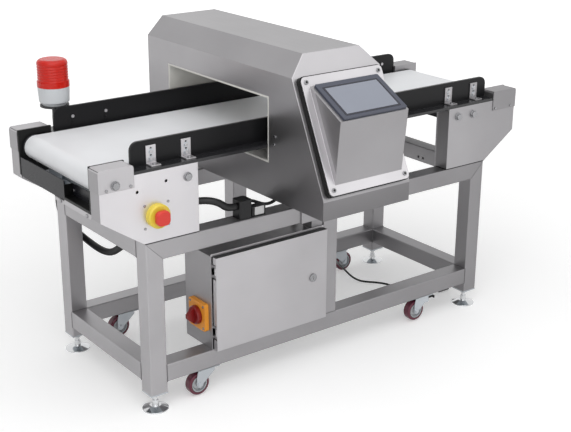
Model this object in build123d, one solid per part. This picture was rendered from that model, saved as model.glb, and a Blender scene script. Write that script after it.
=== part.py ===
from build123d import *
import math
import os

# Conveyor metal detector on a castered stand, in millimetres, +Z up.
# X runs along the belt, with the infeed at -X. The operator stands at -Y.
# Every length below is measured from the middle of the stand, on the floor.
# At the end the whole model moves in Y, so that the middle of its outline is the origin.

# Stand
tube = 50.0
tube_wall = 2.0
tube_corner = 3.0
stand_length = 1190.0
bottom_rail_z = 80.0
leg_bottom_z = 48.0
leg_plate = 4.0
mid_post_x = -5.0
cross_hole_y = (-34.0, -13.0)
cross_hole_drop = 35.0
cross_hole_r = 4.0

# Levelling feet
stud_r = 6.0
stud_top_z = 128.0
nut_across = 19.0
nut_height = 10.0
foot_r = 35.0
foot_rim = 3.0
foot_dome = 11.0
foot_neck_r = 9.0
foot_neck_top = 27.0

# Casters
caster_plate_x = 62.0
caster_plate_y = 50.0
caster_plate_t = 2.5
race_r = 20.0
race_t = 3.0
kingpin_r = 4.0
kingpin_head_r = 7.0
wheel_r = 32.0
wheel_width = 24.0
wheel_lift = 2.0
hub_r = 23.0
hub_boss_r = 9.0
hub_web = 12.0
wheel_trail = 27.0
fork_gap = 1.5
fork_t = 2.5
fork_foot_r = 10.0
axle_r = 4.0
axle_head_r = 6.5
axle_head_t = 3.0
swivel_gap = 0.3
pedal_reach = 52.0
pedal_width = 20.0
pedal_t = 3.0
pedal_pin_r = 2.5
pedal_pin_x = 15.0
pedal_pin_drop = 12.0
front_left_caster_inset = 183.0
back_left_caster_inset = 188.0
front_right_caster_inset = 215.0
back_right_caster_inset = 190.0

# Conveyor
belt_rise = 195.0
belt_t = 2.0
belt_width = 368.0
belt_side_gap = 10.0
roller_r = 30.0
roller_overhang = 77.0
roller_inset = 2.0
roller_shaft_r = 10.0
return_roller_r = 10.0
return_roller_inset = 125.0
return_run_drop = 30.0
return_shaft_r = 5.0
belt_gap = 0.3
bed_t = 20.0
bed_side_margin = 4.0
bed_end_gap = 6.0
side_plate_t = 6.0
side_rail_t = 8.0
side_rail_leg = 22.0
cover_depth = 45.0
cover_inset = 158.0
cover_overhang = 120.0
cover_corner_drop = 112.0
sheet = 2.0
cap_length = 95.0
cap_rise = 19.0
cap_skirt = 39.0
cap_round = 8.0
bearing_r = 24.0
bearing_depth = 12.0
flange_bearing_r = 33.0
flange_bearing_t = 7.0
small_bearing_r = 11.0
end_plate_t = 3.0
end_plate_rise = 6.0
end_plate_height = 53.0
window_from_y = -58.0
recess_depth = 27.0
recess_height = 32.0
band_drop = 4.0
band_height = 21.0
band_tab_height = 9.0
band_tab_to_y = -5.0
tie_bar_drop = 30.0
tie_bar_height = 12.0
tie_bar_t = 6.0
plug_hole_r = 4.0
plug_hole_offsets = ((-52.0, 69.0), (30.0, 83.0))
cover_bolts = ((-1, 127.0, 40.0), (1, 120.0, 35.0), (1, 58.0, 36.0))
cap_screw_insets = (10.0, 76.0)

# Belt drive
motor_inset = 5.0
motor_rise = 83.0
gearbox_side = 90.0
gearbox_depth = 78.0
motor_r = 42.0
motor_length = 160.0
motor_fins = 12
fin_depth = 3.0
motor_shaft_r = 8.0
motor_shaft_reach = 39.0
motor_shaft_end_gap = 1.0
roller_pulley_r = 26.0
motor_pulley_r = 18.0
pulley_width = 16.0
pulley_flange = 1.5
pulley_flange_rise = 4.0
pulley_gap = 11.0
drive_belt_t = 3.0
drive_belt_width = 12.0

# Product guides
guide_gap = 17.0
guide_t = 8.0
guide_height = 61.0
guide_overhang_infeed = 12.0
guide_overhang_outfeed = 24.0
guide_round = 22.0
guide_lift = 8.0
bracket_insets_infeed = (44.0, 145.0)
bracket_insets_outfeed = (132.0, 28.0)
bracket_width = 28.0
bracket_t = 3.0
bracket_height = 48.0
bracket_foot = 27.0
guide_screw_r = 2.5
guide_screw_head_r = 4.5
guide_screw_heights = (14.0, 32.0)
guide_socket = 4.0
guide_socket_depth = 1.5
slot_play = 0.4

# Detector head
head_x = -74.0
head_width = 288.0
head_lift = 46.0
head_crown = 122.0
head_overhang_front = 229.0
head_overhang_back = 111.0
head_nose_height = 54.0
head_slope_depth = 156.0
head_chamfer = 52.0
head_skin = 3.0
aperture_side_gap = 5.0
aperture_sill = 17.0
aperture_height = 167.0
liner_wall = 5.0
coil_margin = 22.0
head_screw_offsets = ((202.0, 119.0), (205.0, 97.0))
support_length = 72.0
support_wall = 4.0
support_lip = 4.0

# Control box on the sloped nose
flange_width = 264.0
flange_length = 304.0
flange_start = 6.0
flange_t = 4.0
flange_round = 12.0
gasket_t = 14.0
gasket_border = 24.0
gasket_inset = 4.0
wedge_width = 222.0
wedge_start = 31.0
wedge_end = 285.0
wedge_peak_out = 20.0
wedge_peak_rise = 201.0
wedge_wall = 2.5
panel_width = 207.0
panel_shift = 3.5
panel_edge = 3.0
panel_t = 6.0
screen_width = 168.0
screen_height = 90.0
screen_raise = 6.5
screen_t = 1.2
module_depth = 28.0
module_border = 16.0
box_screw_r = 6.0
box_screw_inset = 14.0
box_screw_t = 2.5

# Electrical cabinet
cabinet_length = 373.0
cabinet_height = 268.0
cabinet_head_room = 27.0
cabinet_depth = 127.0
cabinet_sheet = 2.0
post_gap = 1.0
door_gap = 2.0
door_t = 16.0
door_sheet = 1.5
door_edge_gap = 1.0
hinge_inset = 5.0
hinge_pin_r = 2.5
hinge_barrel_r = 4.5
hinge_barrel = 20.0
hinge_lug = 8.0
hinge_low_inset = 52.0
hinge_high_inset = 42.0
hinge_play = 0.3
lock_inset = 49.0
lock_r = 9.0
lock_head_r = 12.0
lock_head_t = 3.0
cam_length = 34.0
cam_width = 12.0
cam_t = 3.0
cabinet_lip = 14.0
back_plate_t = 2.5
back_plate_stand = 8.0
drive_unit_left = 215.0
drive_unit_right = 50.0
drive_unit_depth = 48.0
drive_unit_low = 40.0
drive_unit_height = 150.0

# Isolator, on the cabinet's end wall
isolator_inset = 55.0
isolator_rise = 88.0
isolator_side = 78.0
isolator_plate_t = 12.0
isolator_round = 6.0
knob_r = 26.0
knob_t = 12.0
knob_grip = 20.0
knob_grip_width = 10.0
spindle_r = 4.0
switch_depth = 55.0

# Emergency stop, on the front infeed cover
estop_inset = 35.0
estop_rise = 71.0
estop_screw_x = 33.5
estop_screw_z = 29.5
shroud_r = 31.0
shroud_depth = 18.0
estop_side = 38.0
estop_corner = 13.0
estop_cap_t = 13.0
estop_stem_r = 11.0
estop_travel = 6.0

# Beacon
beacon_inset = 18.5
post_r = 8.0
post_bite = 2.0
post_rise = 53.6
post_drop = 40.0
post_plate_t = 3.0
post_plate_width = 40.0
beacon_disc_r = 39.5
beacon_disc_t = 5.0
beacon_neck_r = 33.0
beacon_neck_h = 6.3
beacon_base_low_r = 41.0
beacon_base_top_r = 43.5
beacon_base_h = 44.4
beacon_base_round = 5.0
beacon_ring_r = 44.0
beacon_ring_t = 14.4
lens_r = 42.0
lens_h = 60.0
lens_ribs = 6
lens_rib_pitch = 7.5
lens_rib_depth = 1.0
lens_round = 12.0
lens_wall = 4.0
lamp_r = 14.0
lamp_h = 42.0

# Cables
conduit_r = 10.0
sensor_cable_r = 4.5
cord_r = 3.25
cord_floor_z = 3.3
gland_inset_x = 29.0
gland_inset_y = 32.0
outlet_inset = 15.0
outlet_length = 36.0
outlet_depth = 34.0
outlet_low = 5.0
outlet_height = 50.0
box_width = 40.0
box_height = 51.0
box_inset = 5.0
tag_length = 43.0
tag_height = 28.0
tag_width = 22.0
gland_hex = 20.0
gland_hex_h = 10.0
relief_h = 24.0
relief_r = 7.0
coil_x = 508.0
coil_y = -68.0
coil_mean_r = 34.0
coil_bundle = 19.5
coil_height = 18.0
plug_out = 24.0
plug_side = 40.5
plug_tail = 30.0
plug_length = 40.0
plug_width = 34.0
plug_height = 27.0

# Fits and seats
run_fit = 0.05
soft_gap = 0.3

half_l = stand_length / 2
side_plate_inner = belt_width / 2 + belt_side_gap
cover_inner_y = side_plate_inner + side_plate_t
half_w = cover_inner_y + cover_depth
stand_width = 2 * half_w
rail_y = half_w - tube / 2
leg_x = half_l - tube / 2
bottom_rail_top = bottom_rail_z + tube
cabinet_top = bottom_rail_top + cabinet_height
top_rail_low = cabinet_top + cabinet_head_room
stand_top = top_rail_low + tube
belt_top = stand_top + belt_rise
belt_under = belt_top - belt_t
roller_x = half_l + roller_overhang
roller_z = belt_under - roller_r
roller_length = belt_width - 2 * roller_inset
return_roller_x = half_l - return_roller_inset
return_run_z = belt_top - return_run_drop
return_roller_z = return_run_z - return_roller_r - belt_gap
bed_width = belt_width + 2 * bed_side_margin
side_rail_top = belt_under
cover_top = side_rail_top - side_rail_t
cover_inner_end = half_l - cover_inset
cover_outer_end = half_l + cover_overhang
cover_corner_z = side_rail_top - cover_corner_drop
cap_inner_end = cover_outer_end - cap_length
cap_top_z = side_rail_top + cap_rise
cap_seam_z = side_rail_top - cap_skirt
side_rail_end = cap_inner_end
end_plate_low = cover_corner_z + end_plate_rise
end_plate_top = end_plate_low + end_plate_height
tie_bar_z = side_rail_top - tie_bar_drop - tie_bar_height
motor_x = half_l - motor_inset
motor_z = stand_top + motor_rise
pulley_y = -cover_inner_y - pulley_gap
guide_y = belt_width / 2 + guide_gap + guide_t / 2
guide_left = -half_l - guide_overhang_infeed
guide_right = half_l + guide_overhang_outfeed
bracket_stations = [inset - half_l for inset in bracket_insets_infeed]
bracket_stations += [half_l - inset for inset in bracket_insets_outfeed]
aperture_width = 2 * (half_w - aperture_side_gap)
aperture_bottom = return_run_z - aperture_sill
aperture_top = aperture_bottom + aperture_height
head_bottom = stand_top + head_lift
head_top = aperture_top + head_crown
head_front = -half_w - head_overhang_front
head_back = half_w + head_overhang_back
head_nose_top = head_bottom + head_nose_height
head_top_front = head_front + head_slope_depth
coil_front = -aperture_width / 2 - coil_margin
support_x = head_x
wedge_peak_y = head_front - wedge_peak_out
wedge_peak_z = head_nose_top + wedge_peak_rise
estop_x = estop_inset - half_l
estop_z = stand_top + estop_rise
beacon_x = beacon_inset - half_l
beacon_y = half_w + post_plate_t + post_r - post_bite
outlet_x = outlet_inset - half_l
outlet_y = half_w + outlet_depth / 2
outlet_z = stand_top - outlet_low
shapes = {}
cord_nodes = ("power_cord", "cord_coil", "power_plug")


def block(x0, x1, y0, y1, z0, z1):
    size = Box(x1 - x0, y1 - y0, z1 - z0)
    return Pos((x0 + x1) / 2, (y0 + y1) / 2, (z0 + z1) / 2) * size


def rod(axis, radius, low, high, u, v):
    """Cylinder along an axis; u and v are its other two coordinates, in X, Y, Z order."""
    body = Cylinder(radius, high - low)
    middle = (low + high) / 2
    if axis == "x":
        return Pos(middle, u, v) * Rot(0, 90, 0) * body
    if axis == "y":
        return Pos(u, middle, v) * Rot(90, 0, 0) * body
    return Pos(u, v, middle) * body


def prism_y(points, y0, y1):
    """Closed outline in X and Z, carried from y0 to y1."""
    outline = Wire.make_polygon([Vector(x, y0, z) for x, z in points], close=True)
    return extrude(Face(outline), amount=y1 - y0, dir=(0, 1, 0))


def prism_x(points, x0, x1):
    """Closed outline in Y and Z, carried from x0 to x1."""
    outline = Wire.make_polygon([Vector(x0, y, z) for y, z in points], close=True)
    return extrude(Face(outline), amount=x1 - x0, dir=(1, 0, 0))


def flip_x(shape):
    return mirror(shape, about=Plane.YZ)


def flip_y(shape):
    return mirror(shape, about=Plane.XZ)


def far_corner(shape):
    """Half a turn about Z, from the front outfeed corner to the back infeed corner."""
    return flip_x(flip_y(shape))


def group(parts):
    """Several separate solids in one node."""
    solids = []
    for part in parts:
        solids.extend(part.solids())
    return Compound(children=solids)


def hex_rod(across, axis, low, high, u, v):
    """Hexagonal bar, such as a bolt head or a nut."""
    bar = extrude(RegularPolygon(across / 2, 6, major_radius=False), amount=high - low)
    if axis == "y":
        return Pos(u, high, v) * Rot(90, 0, 0) * bar
    return Pos(u, v, low) * bar


def cable_path(points):
    """Straight runs joined by arcs, each as large as its two runs allow."""
    vectors = [Vector(*p) for p in points]
    radii = []
    for before, here, after in zip(vectors, vectors[1:], vectors[2:]):
        turn = math.radians((here - before).get_angle(after - here))
        run = min((here - before).length, (after - here).length)
        radii.append(0.45 * run / math.tan(turn / 2))
    return FilletPolyline(*vectors, radius=radii), radii


def cable(points, radius, name):
    path, radii = cable_path(points)
    section = Plane(origin=path @ 0, z_dir=path % 0) * Circle(radius)
    tube_solid = sweep(section, path=path)
    ratio = tube_solid.volume / (math.pi * radius ** 2 * path.length)
    print(f"{name}: length {path.length:.0f}, tightest radius {min(radii):.0f}, volume ratio {ratio:.4f}")
    return tube_solid


# Stand

def square_tube(length, axis):
    outer = RectangleRounded(tube, tube, tube_corner)
    inner_side = tube - 2 * tube_wall
    inner = RectangleRounded(inner_side, inner_side, tube_corner - tube_wall / 2)
    body = Pos(0, 0, -length / 2) * extrude(outer - inner, amount=length)
    if axis == "x":
        return Rot(0, 90, 0) * body
    if axis == "y":
        return Rot(90, 0, 0) * body
    return body


def mitre(keep_leg):
    """Wedge cut off a leg, or off a top rail, where the two meet at the infeed end."""
    outer = (-half_l, stand_top)
    inner = (-half_l + tube, top_rail_low)
    third = (-half_l + tube, stand_top) if keep_leg else (-half_l, top_rail_low)
    return prism_y([outer, inner, third], -half_w, -half_w + tube)


def make_stand():
    leg_low = leg_bottom_z + leg_plate
    leg = Pos(-leg_x, -rail_y, (leg_low + stand_top) / 2) * square_tube(stand_top - leg_low, "z")
    leg -= mitre(True)
    post_height = top_rail_low - bottom_rail_top
    post = Pos(mid_post_x, -rail_y, bottom_rail_top + post_height / 2) * square_tube(post_height, "z")
    uprights = [leg, flip_x(leg), flip_y(leg), flip_x(flip_y(leg)), post, flip_y(post)]
    shapes["frame_uprights"] = group(uprights)

    top_rail = Pos(0, -rail_y, stand_top - tube / 2) * square_tube(stand_length, "x")
    top_rail -= mitre(False)
    top_rail -= flip_x(mitre(False))
    low_rail = Pos(0, -rail_y, bottom_rail_z + tube / 2) * square_tube(stand_length - 2 * tube, "x")
    shapes["frame_long_rails"] = group([top_rail, flip_y(top_rail), low_rail, flip_y(low_rail)])

    span = stand_width - 2 * tube
    top_cross = Pos(-leg_x, 0, stand_top - tube / 2) * square_tube(span, "y")
    low_cross = Pos(-leg_x, 0, bottom_rail_z + tube / 2) * square_tube(span, "y")
    far_cross = flip_x(top_cross)
    for y in cross_hole_y:
        far_cross -= rod("x", cross_hole_r, half_l - tube - 1, half_l - tube + 2 * tube_wall,
                         y, stand_top - cross_hole_drop)
    shapes["frame_cross_rails"] = group([top_cross, far_cross, low_cross, flip_x(low_cross)])


# Feet and casters

foot_stations = {
    "front_left": (-leg_x, -rail_y),
    "front_right": (leg_x, -rail_y),
    "back_left": (-leg_x, rail_y),
    "back_right": (leg_x, rail_y),
}

# Each caster: where its swivel stands, which way its wheel trails, and whether it has a brake
caster_stations = {
    "front_left": (front_left_caster_inset - half_l, -rail_y, -1, False),
    "front_right": (half_l - front_right_caster_inset, -rail_y, -1, True),
    "back_left": (back_left_caster_inset - half_l, rail_y, -1, False),
    "back_right": (half_l - back_right_caster_inset, rail_y, 1, True),
}


def make_feet():
    plates = []
    for name, (x, y) in foot_stations.items():
        half = tube / 2
        plate = block(x - half, x + half, y - half, y + half, leg_bottom_z, leg_bottom_z + leg_plate)
        nut = hex_rod(nut_across, "z", leg_bottom_z - nut_height, leg_bottom_z, x, y)
        bore = rod("z", stud_r + run_fit, 0, stud_top_z, x, y)
        plates += [plate - bore, nut - bore]
        profile = Polyline(
            (0, 0), (foot_r, 0), (foot_r, foot_rim), (foot_neck_r + 6, foot_dome),
            (foot_neck_r, foot_dome), (foot_neck_r, foot_neck_top), (stud_r, foot_neck_top),
            (stud_r, stud_top_z), (0, stud_top_z), close=True)
        outline = Plane.XZ * make_face(profile)
        shapes["levelling_foot_" + name] = Pos(x, y, 0) * revolve(outline, axis=Axis.Z)
    return plates


def fork_outline(axle_z, crown_z):
    """Side of a fork: wide at the crown, rounded about the axle."""
    top = [(-race_r, crown_z), (wheel_trail + 4, crown_z)]
    low = [(wheel_trail + fork_foot_r, axle_z), (wheel_trail - fork_foot_r, axle_z), (-race_r, crown_z - 9)]
    return top + [(wheel_trail + fork_foot_r, crown_z - 18)] + low


def make_casters():
    plates = []
    plate_low = bottom_rail_z - caster_plate_t
    race_low = plate_low - race_t
    crown_top = race_low - swivel_gap
    axle_z = wheel_lift + wheel_r
    crown_low = crown_top - fork_t
    kingpin_low = crown_low - 3
    half_gap = wheel_width / 2 + fork_gap
    for name, (x, y, trail, braked) in caster_stations.items():
        half_x = caster_plate_x / 2
        half_y = caster_plate_y / 2
        plate = block(-half_x, half_x, -half_y, half_y, plate_low, bottom_rail_z)
        plate += rod("z", race_r, race_low, plate_low, 0, 0)
        plate += rod("z", kingpin_r, kingpin_low, race_low, 0, 0)
        plate += rod("z", kingpin_head_r, kingpin_low - 2, kingpin_low, 0, 0)
        plates.append(Pos(x, y, 0) * plate)

        side = prism_y(fork_outline(axle_z, crown_top), half_gap, half_gap + fork_t)
        side += rod("y", fork_foot_r, half_gap, half_gap + fork_t, wheel_trail, axle_z)
        side -= rod("y", axle_r + run_fit, half_gap - 1, half_gap + fork_t + 1, wheel_trail, axle_z)
        reach = half_gap + fork_t
        crown = block(-race_r, wheel_trail + 4, -reach, reach, crown_low, crown_top)
        fork = crown + side + flip_y(side)
        fork -= rod("z", kingpin_r + run_fit, crown_low - 1, crown_top + 1, 0, 0)
        axle = rod("y", axle_r, -reach, reach, wheel_trail, axle_z)
        axle += rod("y", axle_head_r, reach, reach + axle_head_t, wheel_trail, axle_z)
        axle += rod("y", axle_head_r, -reach - axle_head_t, -reach, wheel_trail, axle_z)
        turned = Pos(x, y, 0) * Rot(0, 0, 0 if trail > 0 else 180)

        half = wheel_width / 2
        tread = rod("y", wheel_r, -half, half, wheel_trail, axle_z)
        tread = fillet(tread.edges().filter_by(GeomType.CIRCLE), 4)
        tread -= rod("y", hub_r, -half, half, wheel_trail, axle_z)
        hub = rod("y", hub_r, -half, half, wheel_trail, axle_z)
        dish = rod("y", hub_r - 3, hub_web / 2, half, wheel_trail, axle_z)
        dish -= rod("y", hub_boss_r, hub_web / 2, half, wheel_trail, axle_z)
        hub = hub - dish - flip_y(dish)
        hub -= rod("y", axle_r + run_fit, -half, half, wheel_trail, axle_z)

        if braked:
            pin_z = crown_low - pedal_pin_drop
            pin = rod("y", pedal_pin_r, -reach, reach, -pedal_pin_x, pin_z)
            for low in (-reach, half_gap):
                fork += rod("y", 3 * pedal_pin_r, low, low + fork_t, -pedal_pin_x, pin_z)
            fork -= rod("y", pedal_pin_r, -reach, reach, -pedal_pin_x, pin_z)
            shapes["caster_fork_" + name] = turned * group([fork, axle, pin])
            half_p = half_gap - 1
            pedal = rod("y", pedal_pin_r + 2.5, -half_p, half_p, -pedal_pin_x, pin_z)
            pedal += block(-pedal_reach, -pedal_pin_x, -pedal_width / 2, pedal_width / 2,
                           pin_z + 1, pin_z + 1 + pedal_t)
            pedal += block(-pedal_reach, -pedal_reach + pedal_t, -pedal_width / 2, pedal_width / 2,
                           pin_z - 4, pin_z + 1 + pedal_t)
            pedal -= rod("y", pedal_pin_r + run_fit, -half_p, half_p, -pedal_pin_x, pin_z)
            shapes["brake_pedal_" + name] = turned * pedal
        else:
            shapes["caster_fork_" + name] = turned * group([fork, axle])
        shapes["caster_wheel_" + name] = turned * group([tread, hub])
    return plates


# Conveyor

def cover_outline(top):
    """Side view of the outfeed cover, in X and Z."""
    return [(cover_inner_end, stand_top), (half_l, stand_top), (cover_outer_end, cover_corner_z),
            (cover_outer_end, top), (cover_inner_end, top)]


def four_corners(front_left):
    """The same piece at all four corners of the machine."""
    back_left = flip_y(front_left)
    return [front_left, flip_x(front_left), back_left, flip_x(back_left)]


def make_covers():
    outer = prism_y(cover_outline(cover_top), cover_inner_y, half_w)
    inner = offset(outer, amount=-sheet, openings=[outer.faces().sort_by(Axis.Y)[0]])
    tray = inner - block(cap_inner_end + sheet, cover_outer_end - sheet, cover_inner_y, half_w - sheet,
                         cover_top - 2 * sheet, cover_top + 1)
    front_left = flip_y(flip_x(tray))
    shaft_hole = rod("y", estop_stem_r + 1, -half_w - 1, -half_w + 3 * sheet, estop_x, estop_z)
    covers = four_corners(front_left)
    covers[0] -= shaft_hole
    for x, z in plug_hole_offsets:
        covers[0] -= rod("y", plug_hole_r, -half_w - 1, -half_w + 3 * sheet, estop_x + x, estop_z + z)
    shapes["side_covers"] = group(covers)

    cap = block(cap_inner_end, cover_outer_end + sheet, cover_inner_y, half_w + sheet, cap_seam_z, cap_top_z)
    rounded = cap.edges().filter_by(Axis.Y).sort_by(Axis.Z)[-2:]
    cap = fillet(rounded, cap_round)
    cap -= block(cap_inner_end + sheet, cover_outer_end, cover_inner_y, half_w,
                 cap_seam_z - 1, cap_top_z - sheet)
    cap -= block(cover_inner_end, cover_outer_end, cover_inner_y, half_w, stand_top, cover_top)
    shapes["cover_end_caps"] = group(four_corners(flip_y(flip_x(cap))))


def make_side_plates():
    profile = cover_outline(cover_top)
    plate = prism_y(profile, side_plate_inner, cover_inner_y)
    plate += block(cap_inner_end, cover_outer_end, side_plate_inner, cover_inner_y,
                   cover_top - 1, cap_top_z)
    bores = ((roller_x, roller_z, bearing_r), (return_roller_x, return_roller_z, small_bearing_r))
    for x, z, radius in bores:
        plate -= rod("y", radius, side_plate_inner - 1, cover_inner_y + 1, x, z)
    plates = four_corners(flip_y(flip_x(plate)))
    shaft_way = rod("y", motor_shaft_r + 4, -cover_inner_y - 1, -side_plate_inner + 1, motor_x, motor_z)
    plates[2] -= far_corner(shaft_way)
    end = -cover_outer_end
    band_low = cover_corner_z - band_drop
    band_top = band_low + band_height
    band = block(end, end + sheet, -side_plate_inner, window_from_y, band_low, band_top)
    band += block(end, end + sheet, window_from_y, band_tab_to_y, band_low, band_low + band_tab_height)
    band += block(end, end + recess_depth, -side_plate_inner, window_from_y, band_top - sheet, band_top)
    band += block(end, end + recess_depth, window_from_y - sheet, window_from_y,
                  band_top - sheet, band_top + recess_height)
    shapes["conveyor_side_plates"] = group(plates + [band])

    bearings = []
    for x, z, outer, inner, depth in (
            (roller_x, roller_z, bearing_r, roller_shaft_r, bearing_depth),
            (return_roller_x, return_roller_z, small_bearing_r, return_shaft_r, side_plate_t)):
        ring = rod("y", outer, side_plate_inner, side_plate_inner + depth, x, z)
        ring -= rod("y", inner + run_fit, side_plate_inner - 1, side_plate_inner + depth + 1, x, z)
        bearings += four_corners(far_corner(ring))
    flange_low = side_plate_inner - flange_bearing_t
    flange = rod("y", flange_bearing_r, flange_low, side_plate_inner, roller_x, roller_z)
    flange = chamfer(flange.edges().filter_by(GeomType.CIRCLE).sort_by(Axis.Y)[0], flange_bearing_t / 3)
    flange -= rod("y", roller_shaft_r + run_fit, 0, side_plate_inner + 1, roller_x, roller_z)
    shapes["roller_bearings"] = group(bearings + four_corners(far_corner(flange)))


def make_bed():
    bed_end = roller_x - roller_r - bed_end_gap
    half_bed = bed_width / 2
    shapes["slider_bed"] = block(-bed_end, bed_end, -half_bed, half_bed, belt_under - bed_t, belt_under)
    flat = block(-side_rail_end, side_rail_end, half_bed, half_w, cover_top, side_rail_top)
    leg = block(-side_rail_end, side_rail_end, half_bed, side_plate_inner,
                side_rail_top - side_rail_leg, cover_top)
    rail = flat + leg
    notch_y = aperture_width / 2 - soft_gap
    notch_x = head_width / 2 + support_lip
    rail -= block(head_x - notch_x, head_x + notch_x, notch_y, half_w + 1, cover_top - 1, side_rail_top + 1)
    shapes["bed_side_rails"] = group([rail, flip_y(rail)])

    plate_x = cover_outer_end - end_plate_t - 1
    infeed = block(-plate_x - end_plate_t, -plate_x, window_from_y, side_plate_inner,
                   end_plate_low, end_plate_top)
    recess_x = recess_depth - cover_outer_end
    recess_low = cover_corner_z - band_drop + band_height
    recess = block(recess_x - end_plate_t, recess_x, -side_plate_inner, window_from_y - sheet,
                   recess_low, recess_low + recess_height)
    outfeed = block(plate_x, plate_x + end_plate_t, -side_plate_inner, side_plate_inner,
                    cover_corner_z, end_plate_top)
    tie = block(cover_inner_end, cover_inner_end + tie_bar_t, -side_plate_inner, side_plate_inner,
                tie_bar_z, tie_bar_z + tie_bar_height)
    shapes["conveyor_cross_members"] = group([infeed, recess, outfeed, tie, flip_x(tie)])


def tangent_point(px, pz, radius):
    """Where a run from (px, pz) meets the underside of a circle about the outfeed roller."""
    dx = px - roller_x
    dz = pz - roller_z
    angle = math.atan2(dz, dx) + math.acos(radius / math.hypot(dx, dz))
    return roller_x + radius * math.cos(angle), roller_z + radius * math.sin(angle)


def belt_loop(radius, return_z):
    """Area inside one face of the belt."""
    x, z = tangent_point(return_roller_x, return_z, radius)
    top = roller_z + radius
    edges = [
        Line((-roller_x, top), (roller_x, top)),
        ThreePointArc((roller_x, top), (roller_x + radius, roller_z), (x, z)),
        Line((x, z), (return_roller_x, return_z)),
        Line((return_roller_x, return_z), (-return_roller_x, return_z)),
        Line((-return_roller_x, return_z), (-x, z)),
        ThreePointArc((-x, z), (-roller_x - radius, roller_z), (-roller_x, top)),
    ]
    return make_face(edges)


def make_belt():
    band = belt_loop(roller_r + belt_t, return_run_z)
    band -= belt_loop(roller_r + belt_gap, return_run_z + belt_t)
    flat = Plane.XZ * band
    shapes["conveyor_belt"] = Pos(0, belt_width / 2, 0) * extrude(flat, amount=belt_width)


def pulley(radius, x, z):
    wheel = rod("y", radius, pulley_y - pulley_width, pulley_y, x, z)
    rim = radius + pulley_flange_rise
    wheel += rod("y", rim, pulley_y - pulley_flange, pulley_y, x, z)
    wheel += rod("y", rim, pulley_y - pulley_width, pulley_y - pulley_width + pulley_flange, x, z)
    return wheel


def make_rollers():
    half = roller_length / 2
    shaft_end = side_plate_inner + bearing_depth
    idler = rod("y", roller_r, -half, half, roller_x, roller_z)
    idler += rod("y", roller_shaft_r, -shaft_end, shaft_end, roller_x, roller_z)
    shapes["idler_roller"] = idler
    drive = rod("y", roller_r, -half, half, roller_x, roller_z)
    drive += rod("y", roller_shaft_r, pulley_y, shaft_end, roller_x, roller_z)
    drive += pulley(roller_pulley_r, roller_x, roller_z)
    shapes["drive_roller"] = far_corner(drive)
    for side, name in ((-1, "infeed"), (1, "outfeed")):
        x = side * return_roller_x
        roller = rod("y", return_roller_r, -half, half, x, return_roller_z)
        roller += rod("y", return_shaft_r, -cover_inner_y, cover_inner_y, x, return_roller_z)
        shapes["return_roller_" + name] = roller


def make_drive():
    """Laid out at the front outfeed corner and turned into the back infeed corner."""
    front = -side_plate_inner
    half = gearbox_side / 2
    gearbox = block(motor_x - half, motor_x + half, front, front + gearbox_depth,
                    motor_z - half, motor_z + half)
    gearbox = chamfer(gearbox.edges().filter_by(Axis.Y), 8)
    motor_front = front + gearbox_depth
    motor = rod("y", motor_r - fin_depth, motor_front, motor_front + motor_length, motor_x, motor_z)
    fin = block(-1.5, 1.5, motor_front, motor_front + 0.7 * motor_length, 0, motor_r)
    for index in range(motor_fins):
        motor += Pos(motor_x, 0, motor_z) * Rot(0, 360 / motor_fins * index, 0) * fin
    motor_back = motor_front + motor_length
    motor += rod("y", motor_r, motor_back - 0.25 * motor_length, motor_back, motor_x, motor_z)
    body = gearbox + motor
    shaft_end = front + motor_shaft_reach
    body -= rod("y", motor_shaft_r + run_fit, front - 1, shaft_end + motor_shaft_end_gap, motor_x, motor_z)
    shapes["gear_motor"] = far_corner(body)
    shaft = rod("y", motor_shaft_r, pulley_y, shaft_end, motor_x, motor_z)
    shapes["motor_pulley"] = far_corner(shaft + pulley(motor_pulley_r, motor_x, motor_z))

    def run_around(extra):
        big = Pos(roller_x, roller_z) * Circle(roller_pulley_r + extra)
        small = Pos(motor_x, motor_z) * Circle(motor_pulley_r + extra)
        return make_hull(big.edges() + small.edges())

    loop = run_around(soft_gap + drive_belt_t) - run_around(soft_gap)
    middle = pulley_y - pulley_width / 2
    flat = Plane.XZ * loop
    band = Pos(0, middle + drive_belt_width / 2, 0) * extrude(flat, amount=drive_belt_width)
    shapes["timing_belt"] = far_corner(band)


# Guides

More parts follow.
